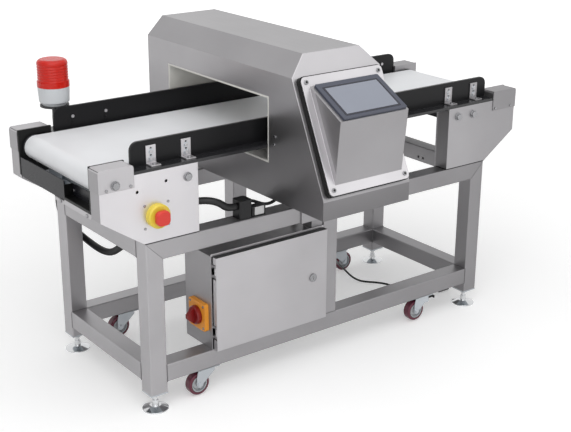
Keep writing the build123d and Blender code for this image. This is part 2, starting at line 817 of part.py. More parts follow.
def make_guides():
    bottom = side_rail_top + soft_gap
    guide_top = side_rail_top + guide_height
    inner = guide_y - guide_t / 2
    outer = guide_y + guide_t / 2
    plate = block(guide_left, guide_right, -outer, -inner, bottom, guide_top)
    plate = fillet(plate.edges().filter_by(Axis.Y).sort_by(Axis.Z)[-2:], guide_round)
    leg_in = outer + soft_gap
    leg_out = leg_in + bracket_t
    pieces = [plate]
    brackets = []
    for x in bracket_stations:
        half = bracket_width / 2
        leg = block(x - half, x + half, -leg_out, -leg_in, side_rail_top, side_rail_top + bracket_height)
        foot = block(x - half, x + half, -leg_in - bracket_foot, -leg_in,
                     side_rail_top, side_rail_top + bracket_t)
        slot_r = guide_screw_r + slot_play
        slot_low = side_rail_top + guide_screw_heights[0]
        slot_high = side_rail_top + guide_screw_heights[1] + guide_lift
        slot = block(x - slot_r, x + slot_r, -leg_out - 1, -leg_in + 1, slot_low, slot_high)
        slot += rod("y", slot_r, -leg_out - 1, -leg_in + 1, x, slot_low)
        slot += rod("y", slot_r, -leg_out - 1, -leg_in + 1, x, slot_high)
        bracket = leg + foot - slot
        brackets += [bracket, flip_y(bracket)]
        for rise in guide_screw_heights:
            z = side_rail_top + rise
            screw = rod("y", guide_screw_r, -leg_out - soft_gap, -inner, x, z)
            screw += rod("y", guide_screw_head_r, -leg_out - soft_gap - 3, -leg_out - soft_gap, x, z)
            screw += rod("y", guide_screw_head_r, -inner, -inner + 2, x, z)
            screw -= hex_rod(guide_socket, "y", -leg_out - soft_gap - 4, -leg_out - soft_gap - 1.5, x, z)
            screw -= hex_rod(guide_socket, "y", -inner + 2 - guide_socket_depth, -inner + 3, x, z)
            plate -= rod("y", guide_screw_r, -outer - 1, -inner + 1, x, z)
            pieces.append(screw)
    pieces[0] = plate
    shapes["front_guide"] = group(pieces)
    shapes["back_guide"] = group([flip_y(piece) for piece in pieces])
    shapes["guide_brackets"] = group(brackets)


# Detector head

slope_run = math.hypot(head_top_front - head_front, head_top - head_nose_top)
slope_y = (head_top_front - head_front) / slope_run
slope_z = (head_top - head_nose_top) / slope_run


def on_slope(along, above):
    """Point in Y and Z: a distance up the sloped nose and a height square to it."""
    y = head_front + along * slope_y - above * slope_z
    z = head_nose_top + along * slope_z + above * slope_y
    return y, z


def slope_plane(along, above):
    y, z = on_slope(along, above)
    return Plane(origin=(head_x, y, z), x_dir=(1, 0, 0), z_dir=(0, -slope_z, slope_y))


def head_form(inset):
    """Outer form of the head, or the space inside its skin."""
    nose_y, nose_z = on_slope(inset * slope_y / slope_z, -inset)
    nose_gain = (head_front + inset - nose_y) * slope_z / slope_y
    top_y, top_z = on_slope(slope_run, -inset)
    top_gain = (top_z - (head_top - inset)) * slope_y / slope_z
    side_view = [(head_front + inset, head_bottom + inset), (head_back - inset, head_bottom + inset),
                 (head_back - inset, head_top - inset), (top_y - top_gain, head_top - inset),
                 (head_front + inset, nose_z + nose_gain)]
    half = head_width / 2 - inset
    cut = head_chamfer - inset * (2 - math.sqrt(2))
    front_view = [(head_x - half, head_bottom), (head_x + half, head_bottom),
                  (head_x + half, head_top - inset - cut), (head_x + half - cut, head_top - inset),
                  (head_x - half + cut, head_top - inset), (head_x - half, head_top - inset - cut)]
    long_form = prism_x(side_view, head_x - half, head_x + half)
    return long_form & prism_y(front_view, head_front - 1, head_back + 1)


def make_head():
    outer = head_form(0)
    space = head_form(head_skin)
    half = aperture_width / 2
    left = head_x - head_width / 2
    right = head_x + head_width / 2
    tunnel = block(left, right, -half - liner_wall, half + liner_wall,
                   aperture_bottom - liner_wall, aperture_top + liner_wall)
    opening = block(left - 1, right + 1, -half, half, aperture_bottom, aperture_top)
    window = slope_plane((wedge_start + wedge_end) / 2, 0) * Box(
        wedge_width - 20, wedge_end - wedge_start - 30, 4 * head_skin)
    shapes["detector_head"] = outer - space - tunnel - window
    shapes["aperture_liner"] = tunnel - opening
    coil_space = block(left, right, coil_front, head_back, head_bottom, head_top)
    shapes["coil_block"] = (space & coil_space) - tunnel

    channel = block(support_x - support_length / 2, support_x + support_length / 2,
                    -half_w, -half_w + tube, stand_top, head_bottom)
    channel -= block(support_x - support_length / 2 - 1, support_x + support_length / 2 + 1,
                     -half_w + support_wall, -half_w + tube - support_wall,
                     stand_top + support_wall, head_bottom - support_wall)
    lip = block(support_x - support_length / 2, support_x + support_length / 2,
                -half_w - support_lip, -half_w, top_rail_low, head_bottom)
    support = channel + lip
    shapes["head_supports"] = group([support, flip_y(support)])


def make_control_box():
    middle = flange_start + flange_length / 2
    seal = slope_plane(middle, 0) * extrude(
        RectangleRounded(flange_width - 2 * gasket_inset, flange_length - 2 * gasket_inset, flange_round)
        - Rectangle(flange_width - 2 * gasket_border, flange_length - 2 * gasket_border), amount=gasket_t)
    shapes["control_box_gasket"] = seal

    face = gasket_t + flange_t
    flange = slope_plane(middle, gasket_t) * extrude(
        RectangleRounded(flange_width, flange_length, flange_round), amount=flange_t)
    foot = on_slope(wedge_start, face)
    head = on_slope(wedge_end, face)
    peak = (wedge_peak_y, wedge_peak_z)
    left = head_x - wedge_width / 2
    right = head_x + wedge_width / 2
    wedge = prism_x([foot, head, peak], left, right)
    inside_foot = on_slope(wedge_start + 3 * wedge_wall, face - flange_t - 1)
    inside_head = on_slope(wedge_end - 3 * wedge_wall, face - flange_t - 1)
    base_foot = on_slope(wedge_start + 1.6 * wedge_wall, face)
    base_head = on_slope(wedge_end - 2.4 * wedge_wall, face)
    inside_peak = (wedge_peak_y + 1.6 * wedge_wall, wedge_peak_z - 1.2 * wedge_wall)
    hollow = prism_x([inside_foot, inside_head, base_head, inside_peak, base_foot],
                     left + wedge_wall, right - wedge_wall)
    span_y = head[0] - peak[0]
    span_z = head[1] - peak[1]
    screen_run = math.hypot(span_y, span_z)
    centre = ((head[0] + peak[0]) / 2, (head[1] + peak[1]) / 2)
    screen_face = Plane(origin=(head_x + panel_shift, centre[0], centre[1]), x_dir=(1, 0, 0),
                        z_dir=(0, -span_z / screen_run, span_y / screen_run))
    module_w = panel_width - 2 * module_border
    module_h = screen_run - 2 * module_border - 2 * panel_edge
    cutout = screen_face * Pos(0, 0, -4 * wedge_wall) * Box(
        module_w + 2 * run_fit, module_h + 2 * run_fit, 16 * wedge_wall)
    shapes["control_box"] = flange + wedge - hollow - (cutout & wedge)

    panel_h = screen_run - 2 * panel_edge
    bezel = screen_face * extrude(RectangleRounded(panel_width, panel_h, 4), amount=panel_t)
    recess = screen_face * Pos(0, screen_raise, panel_t - screen_t) * extrude(
        Rectangle(screen_width, screen_height), amount=screen_t + 1)
    back = screen_face * Pos(0, 0, -module_depth / 2) * Box(module_w, module_h, module_depth)
    screen = screen_face * Pos(0, screen_raise, panel_t - screen_t) * extrude(
        Rectangle(screen_width, screen_height), amount=screen_t / 2)
    shapes["touch_panel"] = group([bezel + back - recess, screen])

    screws = []
    reach_x = flange_width / 2 - box_screw_inset
    reach_s = flange_length / 2 - box_screw_inset
    for x in (-reach_x, reach_x):
        for s in (-reach_s, reach_s):
            head = Pos(x, s, box_screw_t / 2) * Cylinder(box_screw_r, box_screw_t)
            screws.append(slope_plane(middle, face) * head)
    return screws


# Cabinet

cabinet_right = mid_post_x - tube / 2 - post_gap
cabinet_left = cabinet_right - cabinet_length
cabinet_front = -half_w
cabinet_back = cabinet_front + cabinet_depth
door_left = cabinet_left + 4
hinge_x = door_left + hinge_inset
hinge_y = cabinet_front - door_gap - door_t / 2 + 0.5
lock_x = cabinet_right - lock_inset
lock_z = bottom_rail_top + cabinet_height / 2
isolator_y = cabinet_front + isolator_inset
isolator_z = bottom_rail_top + isolator_rise
hinge_heights = (bottom_rail_top + hinge_low_inset, cabinet_top - hinge_high_inset)
gland_x = cabinet_right - gland_inset_x
gland_y = cabinet_back - gland_inset_y


def make_cabinet():
    body = block(cabinet_left, cabinet_right, cabinet_front, cabinet_back, bottom_rail_top, cabinet_top)
    body -= block(cabinet_left + cabinet_sheet, cabinet_right - cabinet_sheet, cabinet_front - 1,
                  cabinet_back - cabinet_sheet, bottom_rail_top + cabinet_sheet, cabinet_top - cabinet_sheet)
    lip = block(cabinet_right - cabinet_lip, cabinet_right - cabinet_sheet,
                cabinet_front, cabinet_front + cabinet_sheet,
                bottom_rail_top + cabinet_sheet, cabinet_top - cabinet_sheet)
    body += lip
    body -= rod("x", spindle_r + run_fit, cabinet_left - 1, cabinet_left + 4, isolator_y, isolator_z)
    body -= rod("z", cord_r + 3, cabinet_top - 4, cabinet_top + 1, gland_x, gland_y)
    solids = [body]
    lug_reach = 3.5
    for middle in hinge_heights:
        half = hinge_barrel / 2 + hinge_play
        pin_half = half + hinge_lug
        bracket = None
        for low, high in ((middle - pin_half, middle - half), (middle + half, middle + pin_half)):
            lug = block(cabinet_left + cabinet_sheet, hinge_x + lug_reach, cabinet_front, cabinet_front + 12,
                        low, high)
            lug += block(hinge_x - lug_reach, hinge_x + lug_reach, hinge_y, cabinet_front + 12, low, high)
            lug += rod("z", lug_reach, low, high, hinge_x, hinge_y)
            bracket = lug if bracket is None else bracket + lug
        bracket += rod("z", hinge_pin_r, middle - pin_half, middle + pin_half, hinge_x, hinge_y)
        solids.append(bracket)
    pad = block(cabinet_right - 39, cabinet_right - 1, cabinet_front + 3, cabinet_front + tube - 8,
                cabinet_top, top_rail_low)
    solids.append(pad)
    shapes["cabinet_body"] = group(solids)

    front = cabinet_front - door_gap - door_t
    back = cabinet_front - door_gap
    low = bottom_rail_top + door_edge_gap
    high = cabinet_top - door_edge_gap
    door = block(door_left, cabinet_right, front, back, low, high)
    door -= block(door_left + door_sheet, cabinet_right - door_sheet, front + door_sheet, back + 1,
                  low + door_sheet, high - door_sheet)
    for middle in hinge_heights:
        notch = hinge_barrel / 2 + hinge_lug + 3
        door -= block(door_left - 1, door_left + 2 * door_sheet, front + door_sheet, back + 1,
                      middle - notch, middle + notch)
        low_end = middle - hinge_barrel / 2
        high_end = middle + hinge_barrel / 2
        barrel = rod("z", hinge_barrel_r, low_end, high_end, hinge_x, hinge_y)
        barrel += block(hinge_x - 2, hinge_x + 2, front + door_sheet / 2, hinge_y, low_end, high_end)
        door += barrel
        door -= rod("z", hinge_pin_r + run_fit, low_end - 5, high_end + 5, hinge_x, hinge_y)
    door -= rod("y", lock_r + run_fit, front - 1, front + door_sheet + 1, lock_x, lock_z)
    shapes["cabinet_door"] = door

    lock = rod("y", lock_head_r, front - lock_head_t, front - soft_gap / 3, lock_x, lock_z)
    lock += rod("y", lock_r, front - soft_gap / 3, back, lock_x, lock_z)
    lock -= block(lock_x - 1, lock_x + 1, front - lock_head_t - 1, front - lock_head_t + 1.5,
                  lock_z - 5, lock_z + 5)
    cam_y = back - cam_t
    lock += block(lock_x - cam_width / 2, lock_x + cam_width / 2, cam_y, cam_y + cam_t,
                  lock_z - cam_width / 2, lock_z + cam_length)
    shapes["door_lock"] = lock

    plate_back = cabinet_back - cabinet_sheet - back_plate_stand
    plate_front = plate_back - back_plate_t
    base = block(cabinet_left + 30, cabinet_right - 30, plate_front, plate_back,
                 bottom_rail_top + 20, cabinet_top - 20)
    for x in (cabinet_left + 45, cabinet_right - 45):
        for z in (bottom_rail_top + 35, cabinet_top - 35):
            base += rod("y", 5, plate_back, cabinet_back - cabinet_sheet, x, z)
    unit_low = bottom_rail_top + drive_unit_low
    drive_unit = block(cabinet_left + drive_unit_left, cabinet_right - drive_unit_right,
                       plate_front - drive_unit_depth, plate_front, unit_low, unit_low + drive_unit_height)
    rail_bar = block(cabinet_left + 60, cabinet_left + 195, plate_front - 7, plate_front,
                     cabinet_top - 80, cabinet_top - 45)
    items = [base, drive_unit, rail_bar]
    for index in range(4):
        start = cabinet_left + 75 + 27 * index
        items.append(block(start, start + 25, plate_front - 50, plate_front - 7,
                           cabinet_top - 105, cabinet_top - 25))
    switch = block(cabinet_left + cabinet_sheet, cabinet_left + cabinet_sheet + switch_depth,
                   isolator_y - 24, isolator_y + 24, isolator_z - 27, isolator_z + 27)
    switch -= rod("x", spindle_r + run_fit, cabinet_left, cabinet_left + 0.6 * switch_depth,
                  isolator_y, isolator_z)
    items.append(switch)
    shapes["cabinet_equipment"] = group(items)


def make_isolator():
    half = isolator_side / 2
    left = cabinet_left - isolator_plate_t
    plate = block(left, cabinet_left, isolator_y - half, isolator_y + half,
                  isolator_z - half, isolator_z + half)
    plate = fillet(plate.edges().filter_by(Axis.X), isolator_round)
    plate -= rod("x", spindle_r + run_fit, left - 1, cabinet_left + 1, isolator_y, isolator_z)
    shapes["isolator_plate"] = plate
    face = left - soft_gap
    knob = rod("x", knob_r, face - knob_t, face, isolator_y, isolator_z)
    knob = chamfer(knob.edges().filter_by(GeomType.CIRCLE).sort_by(Axis.X)[0], 3)
    grip = prism_y([(face - knob_t - knob_grip, isolator_z - 6), (face - knob_t - knob_grip, isolator_z + 6),
                    (face - knob_t, isolator_z + knob_r - 3), (face - knob_t, isolator_z - knob_r + 3)],
                   isolator_y - knob_grip_width / 2, isolator_y + knob_grip_width / 2)
    knob += grip
    knob += rod("x", spindle_r, face, cabinet_left + 0.5 * switch_depth, isolator_y, isolator_z)
    shapes["isolator_knob"] = knob


def make_estop():
    front = -half_w
    shroud_front = front - shroud_depth
    shroud = rod("y", shroud_r, shroud_front, front, estop_x, estop_z)
    shroud = chamfer(shroud.edges().filter_by(GeomType.CIRCLE).sort_by(Axis.Y)[0], 3)
    barrel = rod("y", estop_stem_r, front, front + 32, estop_x, estop_z)
    housing = shroud + barrel
    stem = estop_stem_r - 3
    housing -= rod("y", stem + run_fit, shroud_front - 1, front + 26, estop_x, estop_z)
    shapes["estop_housing"] = housing
    cap_back = shroud_front - estop_travel - soft_gap
    cap = extrude(RectangleRounded(estop_side, estop_side, estop_corner), amount=estop_cap_t)
    cap = fillet(cap.faces().sort_by(Axis.Z)[-1].edges(), 4)
    cap = Pos(estop_x, cap_back, estop_z) * Rot(90, 0, 0) * cap
    cap += rod("y", stem, cap_back, front + 26 - estop_travel - soft_gap, estop_x, estop_z)
    shapes["estop_button"] = cap


def make_beacon():
    half = post_plate_width / 2
    post_top = side_rail_top + post_rise
    disc_top = post_top + beacon_disc_t
    base_low = disc_top + beacon_neck_h
    base_top = base_low + beacon_base_h
    ring_top = base_top + beacon_ring_t
    post_low = side_rail_top - post_drop
    post = block(beacon_x - half, beacon_x + half, half_w, half_w + post_plate_t, post_low, cover_top)
    post += rod("z", post_r, post_low, post_top, beacon_x, beacon_y)
    post += rod("z", beacon_disc_r, post_top, disc_top, beacon_x, beacon_y)
    cup = Pos(beacon_x, beacon_y, base_low + beacon_base_h / 2) * Cone(
        beacon_base_low_r, beacon_base_top_r, beacon_base_h)
    cup = fillet(cup.edges().filter_by(GeomType.CIRCLE).sort_by(Axis.Z)[0], beacon_base_round)
    cup += rod("z", beacon_neck_r, disc_top, base_low, beacon_x, beacon_y)
    shapes["beacon_base"] = group([post, cup])

    wall = [(lens_r, ring_top)]
    first_rib = ring_top + (lens_h - lens_round - lens_ribs * lens_rib_pitch) / 2
    for index in range(lens_ribs):
        low = first_rib + index * lens_rib_pitch
        wall += [(lens_r, low), (lens_r - lens_rib_depth, low + lens_rib_pitch / 2)]
    wall += [(lens_r, first_rib + lens_ribs * lens_rib_pitch), (lens_r, ring_top + lens_h)]
    outline = Polyline((0, ring_top), *wall, (0, ring_top + lens_h), close=True)
    lens = revolve(Plane.XZ * make_face(outline), axis=Axis.Z)
    lens = fillet(lens.edges().filter_by(GeomType.CIRCLE).sort_by(Axis.Z)[-1], lens_round)
    lens += rod("z", beacon_ring_r, base_top, ring_top, 0, 0)
    hollow = rod("z", lens_r - lens_wall, base_top - 1, ring_top + lens_h - lens_wall, 0, 0)
    hollow = fillet(hollow.edges().filter_by(GeomType.CIRCLE).sort_by(Axis.Z)[-1], lens_round - lens_wall)
    lamp = rod("z", lamp_r, base_top, base_top + lamp_h, 0, 0)
    shapes["beacon_lens"] = Pos(beacon_x, beacon_y, 0) * group([lens - hollow, lamp])


# Cables

conduit_points = [
    (-580, 262, 470), (-580, 262, 436), (-573, 262, 403), (-556, 261, 372), (-524, 252, 334),
    (-508, 222, 314), (-506, 180, 310), (-507, 135, 314), (-512, 85, 330), (-520, 30, 362),
    (-527, -20, 394), (-524, -62, 430), (-514, -98, 468), (-500, -138, 502), (-476, -168, 523),
    (-445, -180, 533), (-416, -190, 537), (-384, -208, 538), (-356, -219, 528), (-334, -220, 508),
    (-306, -220, 508),
]
sensor_points = [
    (-268, -206, 510), (-248, -206, 510), (-228, -206, 500), (-206, -206, 490),
    (-184, -206, 488), (-160, -206, 497), (-160, -206, 520.7),
]
cord_points = [
    (-60, -150, 432), (-60, -150, 454), (-50, -148, 476), (-28, -143, 488), (-6, -138, 480),
    (8, -134, 458), (17, -131, 426), (30, -126, 386), (50, -116, 344), (80, -98, 302),
    (118, -72, 260), (162, -38, 216), (210, 4, 172), (262, 50, 130), (316, 104, 90),
    (359, 122, 52), (392, 119, 16), (412, 102, 3.3), (425, 82, 3.3), (446, 60, 3.3),
    (463, 36, 3.3), (470, 12, 3.3), (473, -14, 3.3), (474, -41.8, 3.3),
]


def make_cables():
    conduit = cable(conduit_points, conduit_r, "conduit")
    sensor = cable(sensor_points, sensor_cable_r, "sensor cable")
    shapes["conduit"] = group([conduit, sensor])
    box_front = box_inset - half_w
    box_left = conduit_points[-1][0]
    box_right = sensor_points[0][0]
    junction = block(box_left, box_right, box_front, box_front + box_width,
                     stand_top, stand_top + box_height)
    junction = chamfer(junction.edges().filter_by(Axis.Z), 4)
    tag_front = box_front + 2
    small = block(box_right + 1, box_right + 1 + tag_length, tag_front, tag_front + tag_width,
                  stand_top, stand_top + tag_height)
    half = outlet_length / 2
    outlet = block(outlet_x - half, outlet_x + half, half_w, half_w + outlet_depth,
                   outlet_z, outlet_z + outlet_height)
    outlet = fillet(outlet.edges().filter_by(Axis.Z).group_by(Axis.Y)[-1], 5)
    shapes["junction_box"] = group([junction, small, outlet])

    gland = hex_rod(gland_hex, "z", cabinet_top, cabinet_top + gland_hex_h, gland_x, gland_y)
    relief_low = cabinet_top + gland_hex_h
    relief = Pos(gland_x, gland_y, relief_low + relief_h / 2) * Cone(relief_r, cord_r + 0.5, relief_h)
    shapes["cord_gland"] = gland + relief

    shapes["power_cord"] = cable(cord_points, cord_r, "power cord")
    outer = coil_mean_r + coil_bundle / 2
    inner = coil_mean_r - coil_bundle / 2
    coil = rod("z", outer, 0, coil_height, coil_x, coil_y) - rod("z", inner, 0, coil_height, coil_x, coil_y)
    end_x, end_y, end_z = cord_points[-1]
    coil -= block(end_x - 6, end_x + 6, end_y - 1, end_y + 20, -1, coil_height + 1)
    tail_x = coil_x + plug_out
    tail_y = coil_y - plug_side
    coil -= block(tail_x, tail_x + 25, tail_y - 12, tail_y + 9, -1, coil_height + 1)
    shapes["cord_coil"] = coil
    axis_z = plug_height / 2
    tail = Pos(tail_x + plug_tail / 2, tail_y, axis_z) * Rot(0, 90, 0) * Cone(cord_r + 0.5, 8, plug_tail)
    body = block(tail_x + plug_tail, tail_x + plug_tail + plug_length, tail_y - plug_width / 2,
                 tail_y + plug_width / 2, 0, plug_height)
    body = fillet(body.edges().filter_by(Axis.X), 7)
    plug = tail + body
    for side in (-9.5, 9.5):
        plug += rod("x", 2.4, tail_x + plug_tail + plug_length, tail_x + plug_tail + plug_length + 19,
                    tail_y + side, axis_z)
    shapes["power_plug"] = plug


def make_screws():
    """Hex bolts through the covers, cap screws and the bracket screws."""
    screws = []
    front = -half_w
    places = [(-roller_x, roller_z + 6, sheet)]
    for side, inset, drop in cover_bolts:
        places.append((side * (half_l - inset), side_rail_top - drop, 0.0))
    for x, z, proud in places:
        face = front - proud
        bolt = rod("y", 12, face - 2, face, x, z) + hex_rod(17, "y", face - 8, face - 2, x, z)
        screws += [bolt, flip_y(bolt)]
    for inset in cap_screw_insets:
        head = rod("y", 4, front - sheet - 2, front - sheet, cap_inner_end + inset, cap_seam_z + 6)
        screws += four_corners(flip_x(head))
    for x in (-estop_screw_x, estop_screw_x):
        for z in (-estop_screw_z, estop_screw_z):
            screws.append(rod("y", 3.5, front - 1.5, front, estop_x + x, estop_z + z))
    head_side = head_x - head_width / 2
    for y, z in head_screw_offsets:
        screws.append(rod("x", 4, head_side - 2, head_side, head_front + y, head_nose_top + z))
    plate_face = cabinet_left - isolator_plate_t
    reach = isolator_side / 2 - 8
    for y in (-reach, reach):
        for z in (-reach, reach):
            screws.append(rod("x", 3.5, plate_face - 1, plate_face, isolator_y + y, isolator_z + z))
    end = -cover_outer_end
    band_z = cover_corner_z - band_drop + 8
    for y in (-side_plate_inner + 16, window_from_y + 20):
        screws.append(rod("x", 5, end - 2, end, y, band_z - 3))
    recess_x = recess_depth - cover_outer_end - end_plate_t
    screws.append(rod("x", 4, recess_x - 2, recess_x, window_from_y - 8, cover_corner_z + 31))
    foot_y = guide_y + guide_t / 2 + soft_gap + 0.65 * bracket_foot
    for x in bracket_stations:
        head = rod("z", 5, side_rail_top + bracket_t, side_rail_top + bracket_t + 3, x, -foot_y)
        screws += [head, flip_y(head)]
    return screws


make_stand()
shapes["mounting_plates"] = group(make_feet() + make_casters())
make_covers()
make_side_plates()
make_bed()
make_belt()
make_rollers()
make_drive()
make_guides()
make_head()
box_screws = make_control_box()
make_cabinet()
make_isolator()
make_estop()
make_beacon()
make_cables()
shapes["machine_screws"] = group(make_screws() + box_screws)

# The outline that counts for the origin leaves the free cord out
fixed_parts = [shape for name, shape in shapes.items() if name not in cord_nodes]
low_y = min(shape.bounding_box().min.Y for shape in fixed_parts)
high_y = max(shape.bounding_box().max.Y for shape in fixed_parts)
origin_shift = -(low_y + high_y) / 2
print(f"origin shift in Y: {origin_shift:.3f}")

os.makedirs("parts", exist_ok=True)
for name, shape in shapes.items():
    export_step(Pos(0, origin_shift, 0) * shape, f"parts/{name}.step")
print(f"{len(shapes)} nodes")
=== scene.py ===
import math

import bmesh
import bpy
from mathutils import Matrix, Vector


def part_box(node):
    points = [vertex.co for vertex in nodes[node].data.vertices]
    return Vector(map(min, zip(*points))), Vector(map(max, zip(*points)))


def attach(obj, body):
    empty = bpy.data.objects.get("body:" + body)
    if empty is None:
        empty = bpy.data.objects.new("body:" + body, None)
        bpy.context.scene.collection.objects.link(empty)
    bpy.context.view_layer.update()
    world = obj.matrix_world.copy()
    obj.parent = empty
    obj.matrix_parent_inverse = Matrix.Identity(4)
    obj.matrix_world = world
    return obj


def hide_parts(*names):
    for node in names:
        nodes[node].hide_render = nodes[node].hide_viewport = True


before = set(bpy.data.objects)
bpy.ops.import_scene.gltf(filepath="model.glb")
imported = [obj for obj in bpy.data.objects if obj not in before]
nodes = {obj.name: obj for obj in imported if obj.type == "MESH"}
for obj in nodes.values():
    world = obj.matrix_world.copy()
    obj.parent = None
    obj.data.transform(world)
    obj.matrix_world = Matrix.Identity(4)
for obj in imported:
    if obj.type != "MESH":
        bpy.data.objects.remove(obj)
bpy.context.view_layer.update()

MM = 0.001
# Distance along Y, in metres, from the frame's middle to the stand's middle
SHIFT = 0.069075
X_AXIS, Y_AXIS, Z_AXIS = (1, 0, 0), (0, 1, 0), (0, 0, 1)


def point(x, y, z):
    """A point in millimetres from the middle of the stand, in the shared frame."""
    return Vector((x * MM, y * MM + SHIFT, z * MM))


# Camera
azimuth = math.radians(37.13)
elevation = math.radians(19.95)
roll = math.radians(0.28)
camera_data = bpy.data.cameras.new("camera")
camera_data.sensor_width = 36.0
camera_data.lens = 71.72
camera_data.clip_end = 60.0
camera = bpy.data.objects.new("camera", camera_data)
turn = Matrix.Rotation(-azimuth, 4, "Z") @ Matrix.Rotation(math.pi / 2 - elevation, 4, "X")
place = Matrix.Translation(point(-1896, -2534.5, 1500.5))
camera.matrix_world = place @ turn @ Matrix.Rotation(roll, 4, "Z")
bpy.context.scene.collection.objects.link(camera)
bpy.context.scene.camera = camera


# Materials

class Paint:
    """A node material under construction."""

    def __init__(self, name, color, rough, metallic=0.0):
        self.material = bpy.data.materials.new(name)
        self.material.use_nodes = True
        self.tree = self.material.node_tree
        self.shader = self.tree.nodes["Principled BSDF"]
        self.shader.inputs["Base Color"].default_value = (*color, 1.0)
        self.shader.inputs["Roughness"].default_value = rough
        self.shader.inputs["Metallic"].default_value = metallic
        self.color = color
        self.mixed = None
        self.last = None
        self.chosen = None

    def add(self, kind, **sockets):
        node = self.tree.nodes.new(kind)
        for key, value in sockets.items():
            node.inputs[key.replace("_", " ")].default_value = value
        return node

    def join(self, a, a_out, b, b_in):
        self.tree.links.new(a.outputs[a_out], b.inputs[b_in])

    def math(self, operation, a, b):
        """A math node; each of a and b is a number or a (node, output) pair."""
        node = self.tree.nodes.new("ShaderNodeMath")
        node.operation = operation
        for index, value in enumerate((a, b)):
            if isinstance(value, tuple):
                self.tree.links.new(value[0].outputs[value[1]], node.inputs[index])
            else:
                node.inputs[index].default_value = value
        return node

    def along(self, origin, direction):
        """Distance of the piece's own place from a point, along a direction, in metres."""
        spot = self.add("ShaderNodeTexCoord")
        away = self.add("ShaderNodeVectorMath")
        away.operation = "SUBTRACT"
        away.inputs[1].default_value = origin
        reach = self.add("ShaderNodeVectorMath")
        reach.operation = "DOT_PRODUCT"
        reach.inputs[1].default_value = direction
        self.join(spot, "Object", away, 0)
        self.join(away, 0, reach, 0)
        return reach, "Value"

    def within(self, reach, half):
        """1 where a distance is less than half either way."""
        size = self.math("ABSOLUTE", reach, 0.0)
        return self.math("LESS_THAN", (size, 0), half)

    def place(self):
        """The piece's own coordinates, in metres, split into X, Y and Z."""
        spot = self.add("ShaderNodeTexCoord")
        parts = self.add("ShaderNodeSeparateXYZ")
        self.join(spot, "Object", parts, "Vector")
        return parts

    def noise(self, scale, detail=3.0, stretch=(1, 1, 1)):
        spot = self.add("ShaderNodeTexCoord")
        mapping = self.add("ShaderNodeMapping", Scale=stretch)
        grain = self.add("ShaderNodeTexNoise", Scale=scale, Detail=detail)
        self.join(spot, "Object", mapping, "Vector")
        self.join(mapping, "Vector", grain, "Vector")
        return grain

    def vary(self, grain, low, high):
        """Base colour between two shades of itself, along a grain."""
        ramp = self.add("ShaderNodeMapRange", To_Min=low, To_Max=high)
        self.join(grain, "Fac", ramp, "Value")
        mix = self.add("ShaderNodeMix")
        mix.data_type = "RGBA"
        mix.blend_type = "MULTIPLY"
        mix.inputs[0].default_value = 1.0
        mix.inputs[6].default_value = (*self.color, 1.0)
        self.join(ramp, "Result", mix, 7)
        self.tree.links.new(mix.outputs[2], self.shader.inputs["Base Color"])
        self.mixed = self.last = mix
        return self

    def fade(self, reach, start, end, before, after):
        """The base colour times a factor that changes along the object: painted shade."""
        ramp = self.add("ShaderNodeMapRange", From_Min=start, From_Max=end, To_Min=before, To_Max=after)
        self.tree.links.new(reach[0].outputs[reach[1]], ramp.inputs["Value"])
        mix = self.add("ShaderNodeMix")
        mix.data_type = "RGBA"
        mix.blend_type = "MULTIPLY"
        mix.inputs[0].default_value = 1.0
        self.tree.links.new(self.last.outputs[2], mix.inputs[6])
        self.join(ramp, "Result", mix, 7)
        self.tree.links.new(mix.outputs[2], self.shader.inputs["Base Color"])
        self.last = mix
        return self

    def two_tone(self, mask, other):
        """The other colour where the mask is 1."""
        choose = self.add("ShaderNodeMix")
        choose.data_type = "RGBA"
        choose.inputs[6].default_value = (*self.color, 1.0)
        choose.inputs[7].default_value = (*other, 1.0)
        if self.chosen:
            self.tree.links.new(self.chosen.outputs[2], choose.inputs[6])
        self.chosen = choose
        self.join(mask, 0, choose, 0)
        self.tree.links.new(choose.outputs[2], self.mixed.inputs[6])
        return self

    def rough(self, grain, low, high):
        ramp = self.add("ShaderNodeMapRange", To_Min=low, To_Max=high)
        self.join(grain, "Fac", ramp, "Value")
        self.join(ramp, "Result", self.shader, "Roughness")
        return self

    def bump(self, grain, strength, distance, edge=None):
        """Fine relief; a bent or folded edge catches light over its own radius."""
        node = self.add("ShaderNodeBump", Strength=strength, Distance=distance)
        self.join(grain, "Fac", node, "Height")
        if edge:
            round_edge = self.add("ShaderNodeBevel", Radius=edge)
            round_edge.samples = 6
            self.join(round_edge, "Normal", node, "Normal")
        self.join(node, "Normal", self.shader, "Normal")
        return self


# Radius over which a folded edge catches light, and the height of the grain's relief
EDGE = 1.8 * MM
SHEET_RELIEF, MOULD_RELIEF = 0.2 * MM, 0.1 * MM
# Roughness of plain stainless sheet, at its smoothest and roughest
SATIN = (0.34, 0.48)
# Scale and strength of the grain on plastic and rubber
FINE_GRAIN, GRAIN_STRENGTH = 900.0, 0.08


def brushed(name, color, stretch, rough=SATIN, metallic=0.92):
    """Brushed or plated metal, with its grain along the smallest stretch."""
    paint = Paint(name, color, rough[0], metallic)
    lines = paint.noise(scale=1.0, detail=4.0, stretch=stretch)
    cloud = paint.noise(scale=3.4, detail=3.0)
    paint.vary(cloud, low=0.80, high=1.16)
    paint.rough(lines, *rough)
    paint.bump(lines, strength=0.12, distance=SHEET_RELIEF, edge=EDGE)
    return paint


def moulded(name, color, rough, grain=FINE_GRAIN, strength=GRAIN_STRENGTH):
    """Moulded plastic or rubber, with a fine grain and a faint cloud."""
    paint = Paint(name, color, rough)
    fine = paint.noise(scale=grain, detail=2.0)
    cloud = paint.noise(scale=7.0, detail=2.0)
    paint.vary(cloud, low=0.93, high=1.06)
    paint.rough(cloud, low=rough * 0.88, high=rough * 1.15)
    paint.bump(fine, strength, distance=MOULD_RELIEF)
    return paint


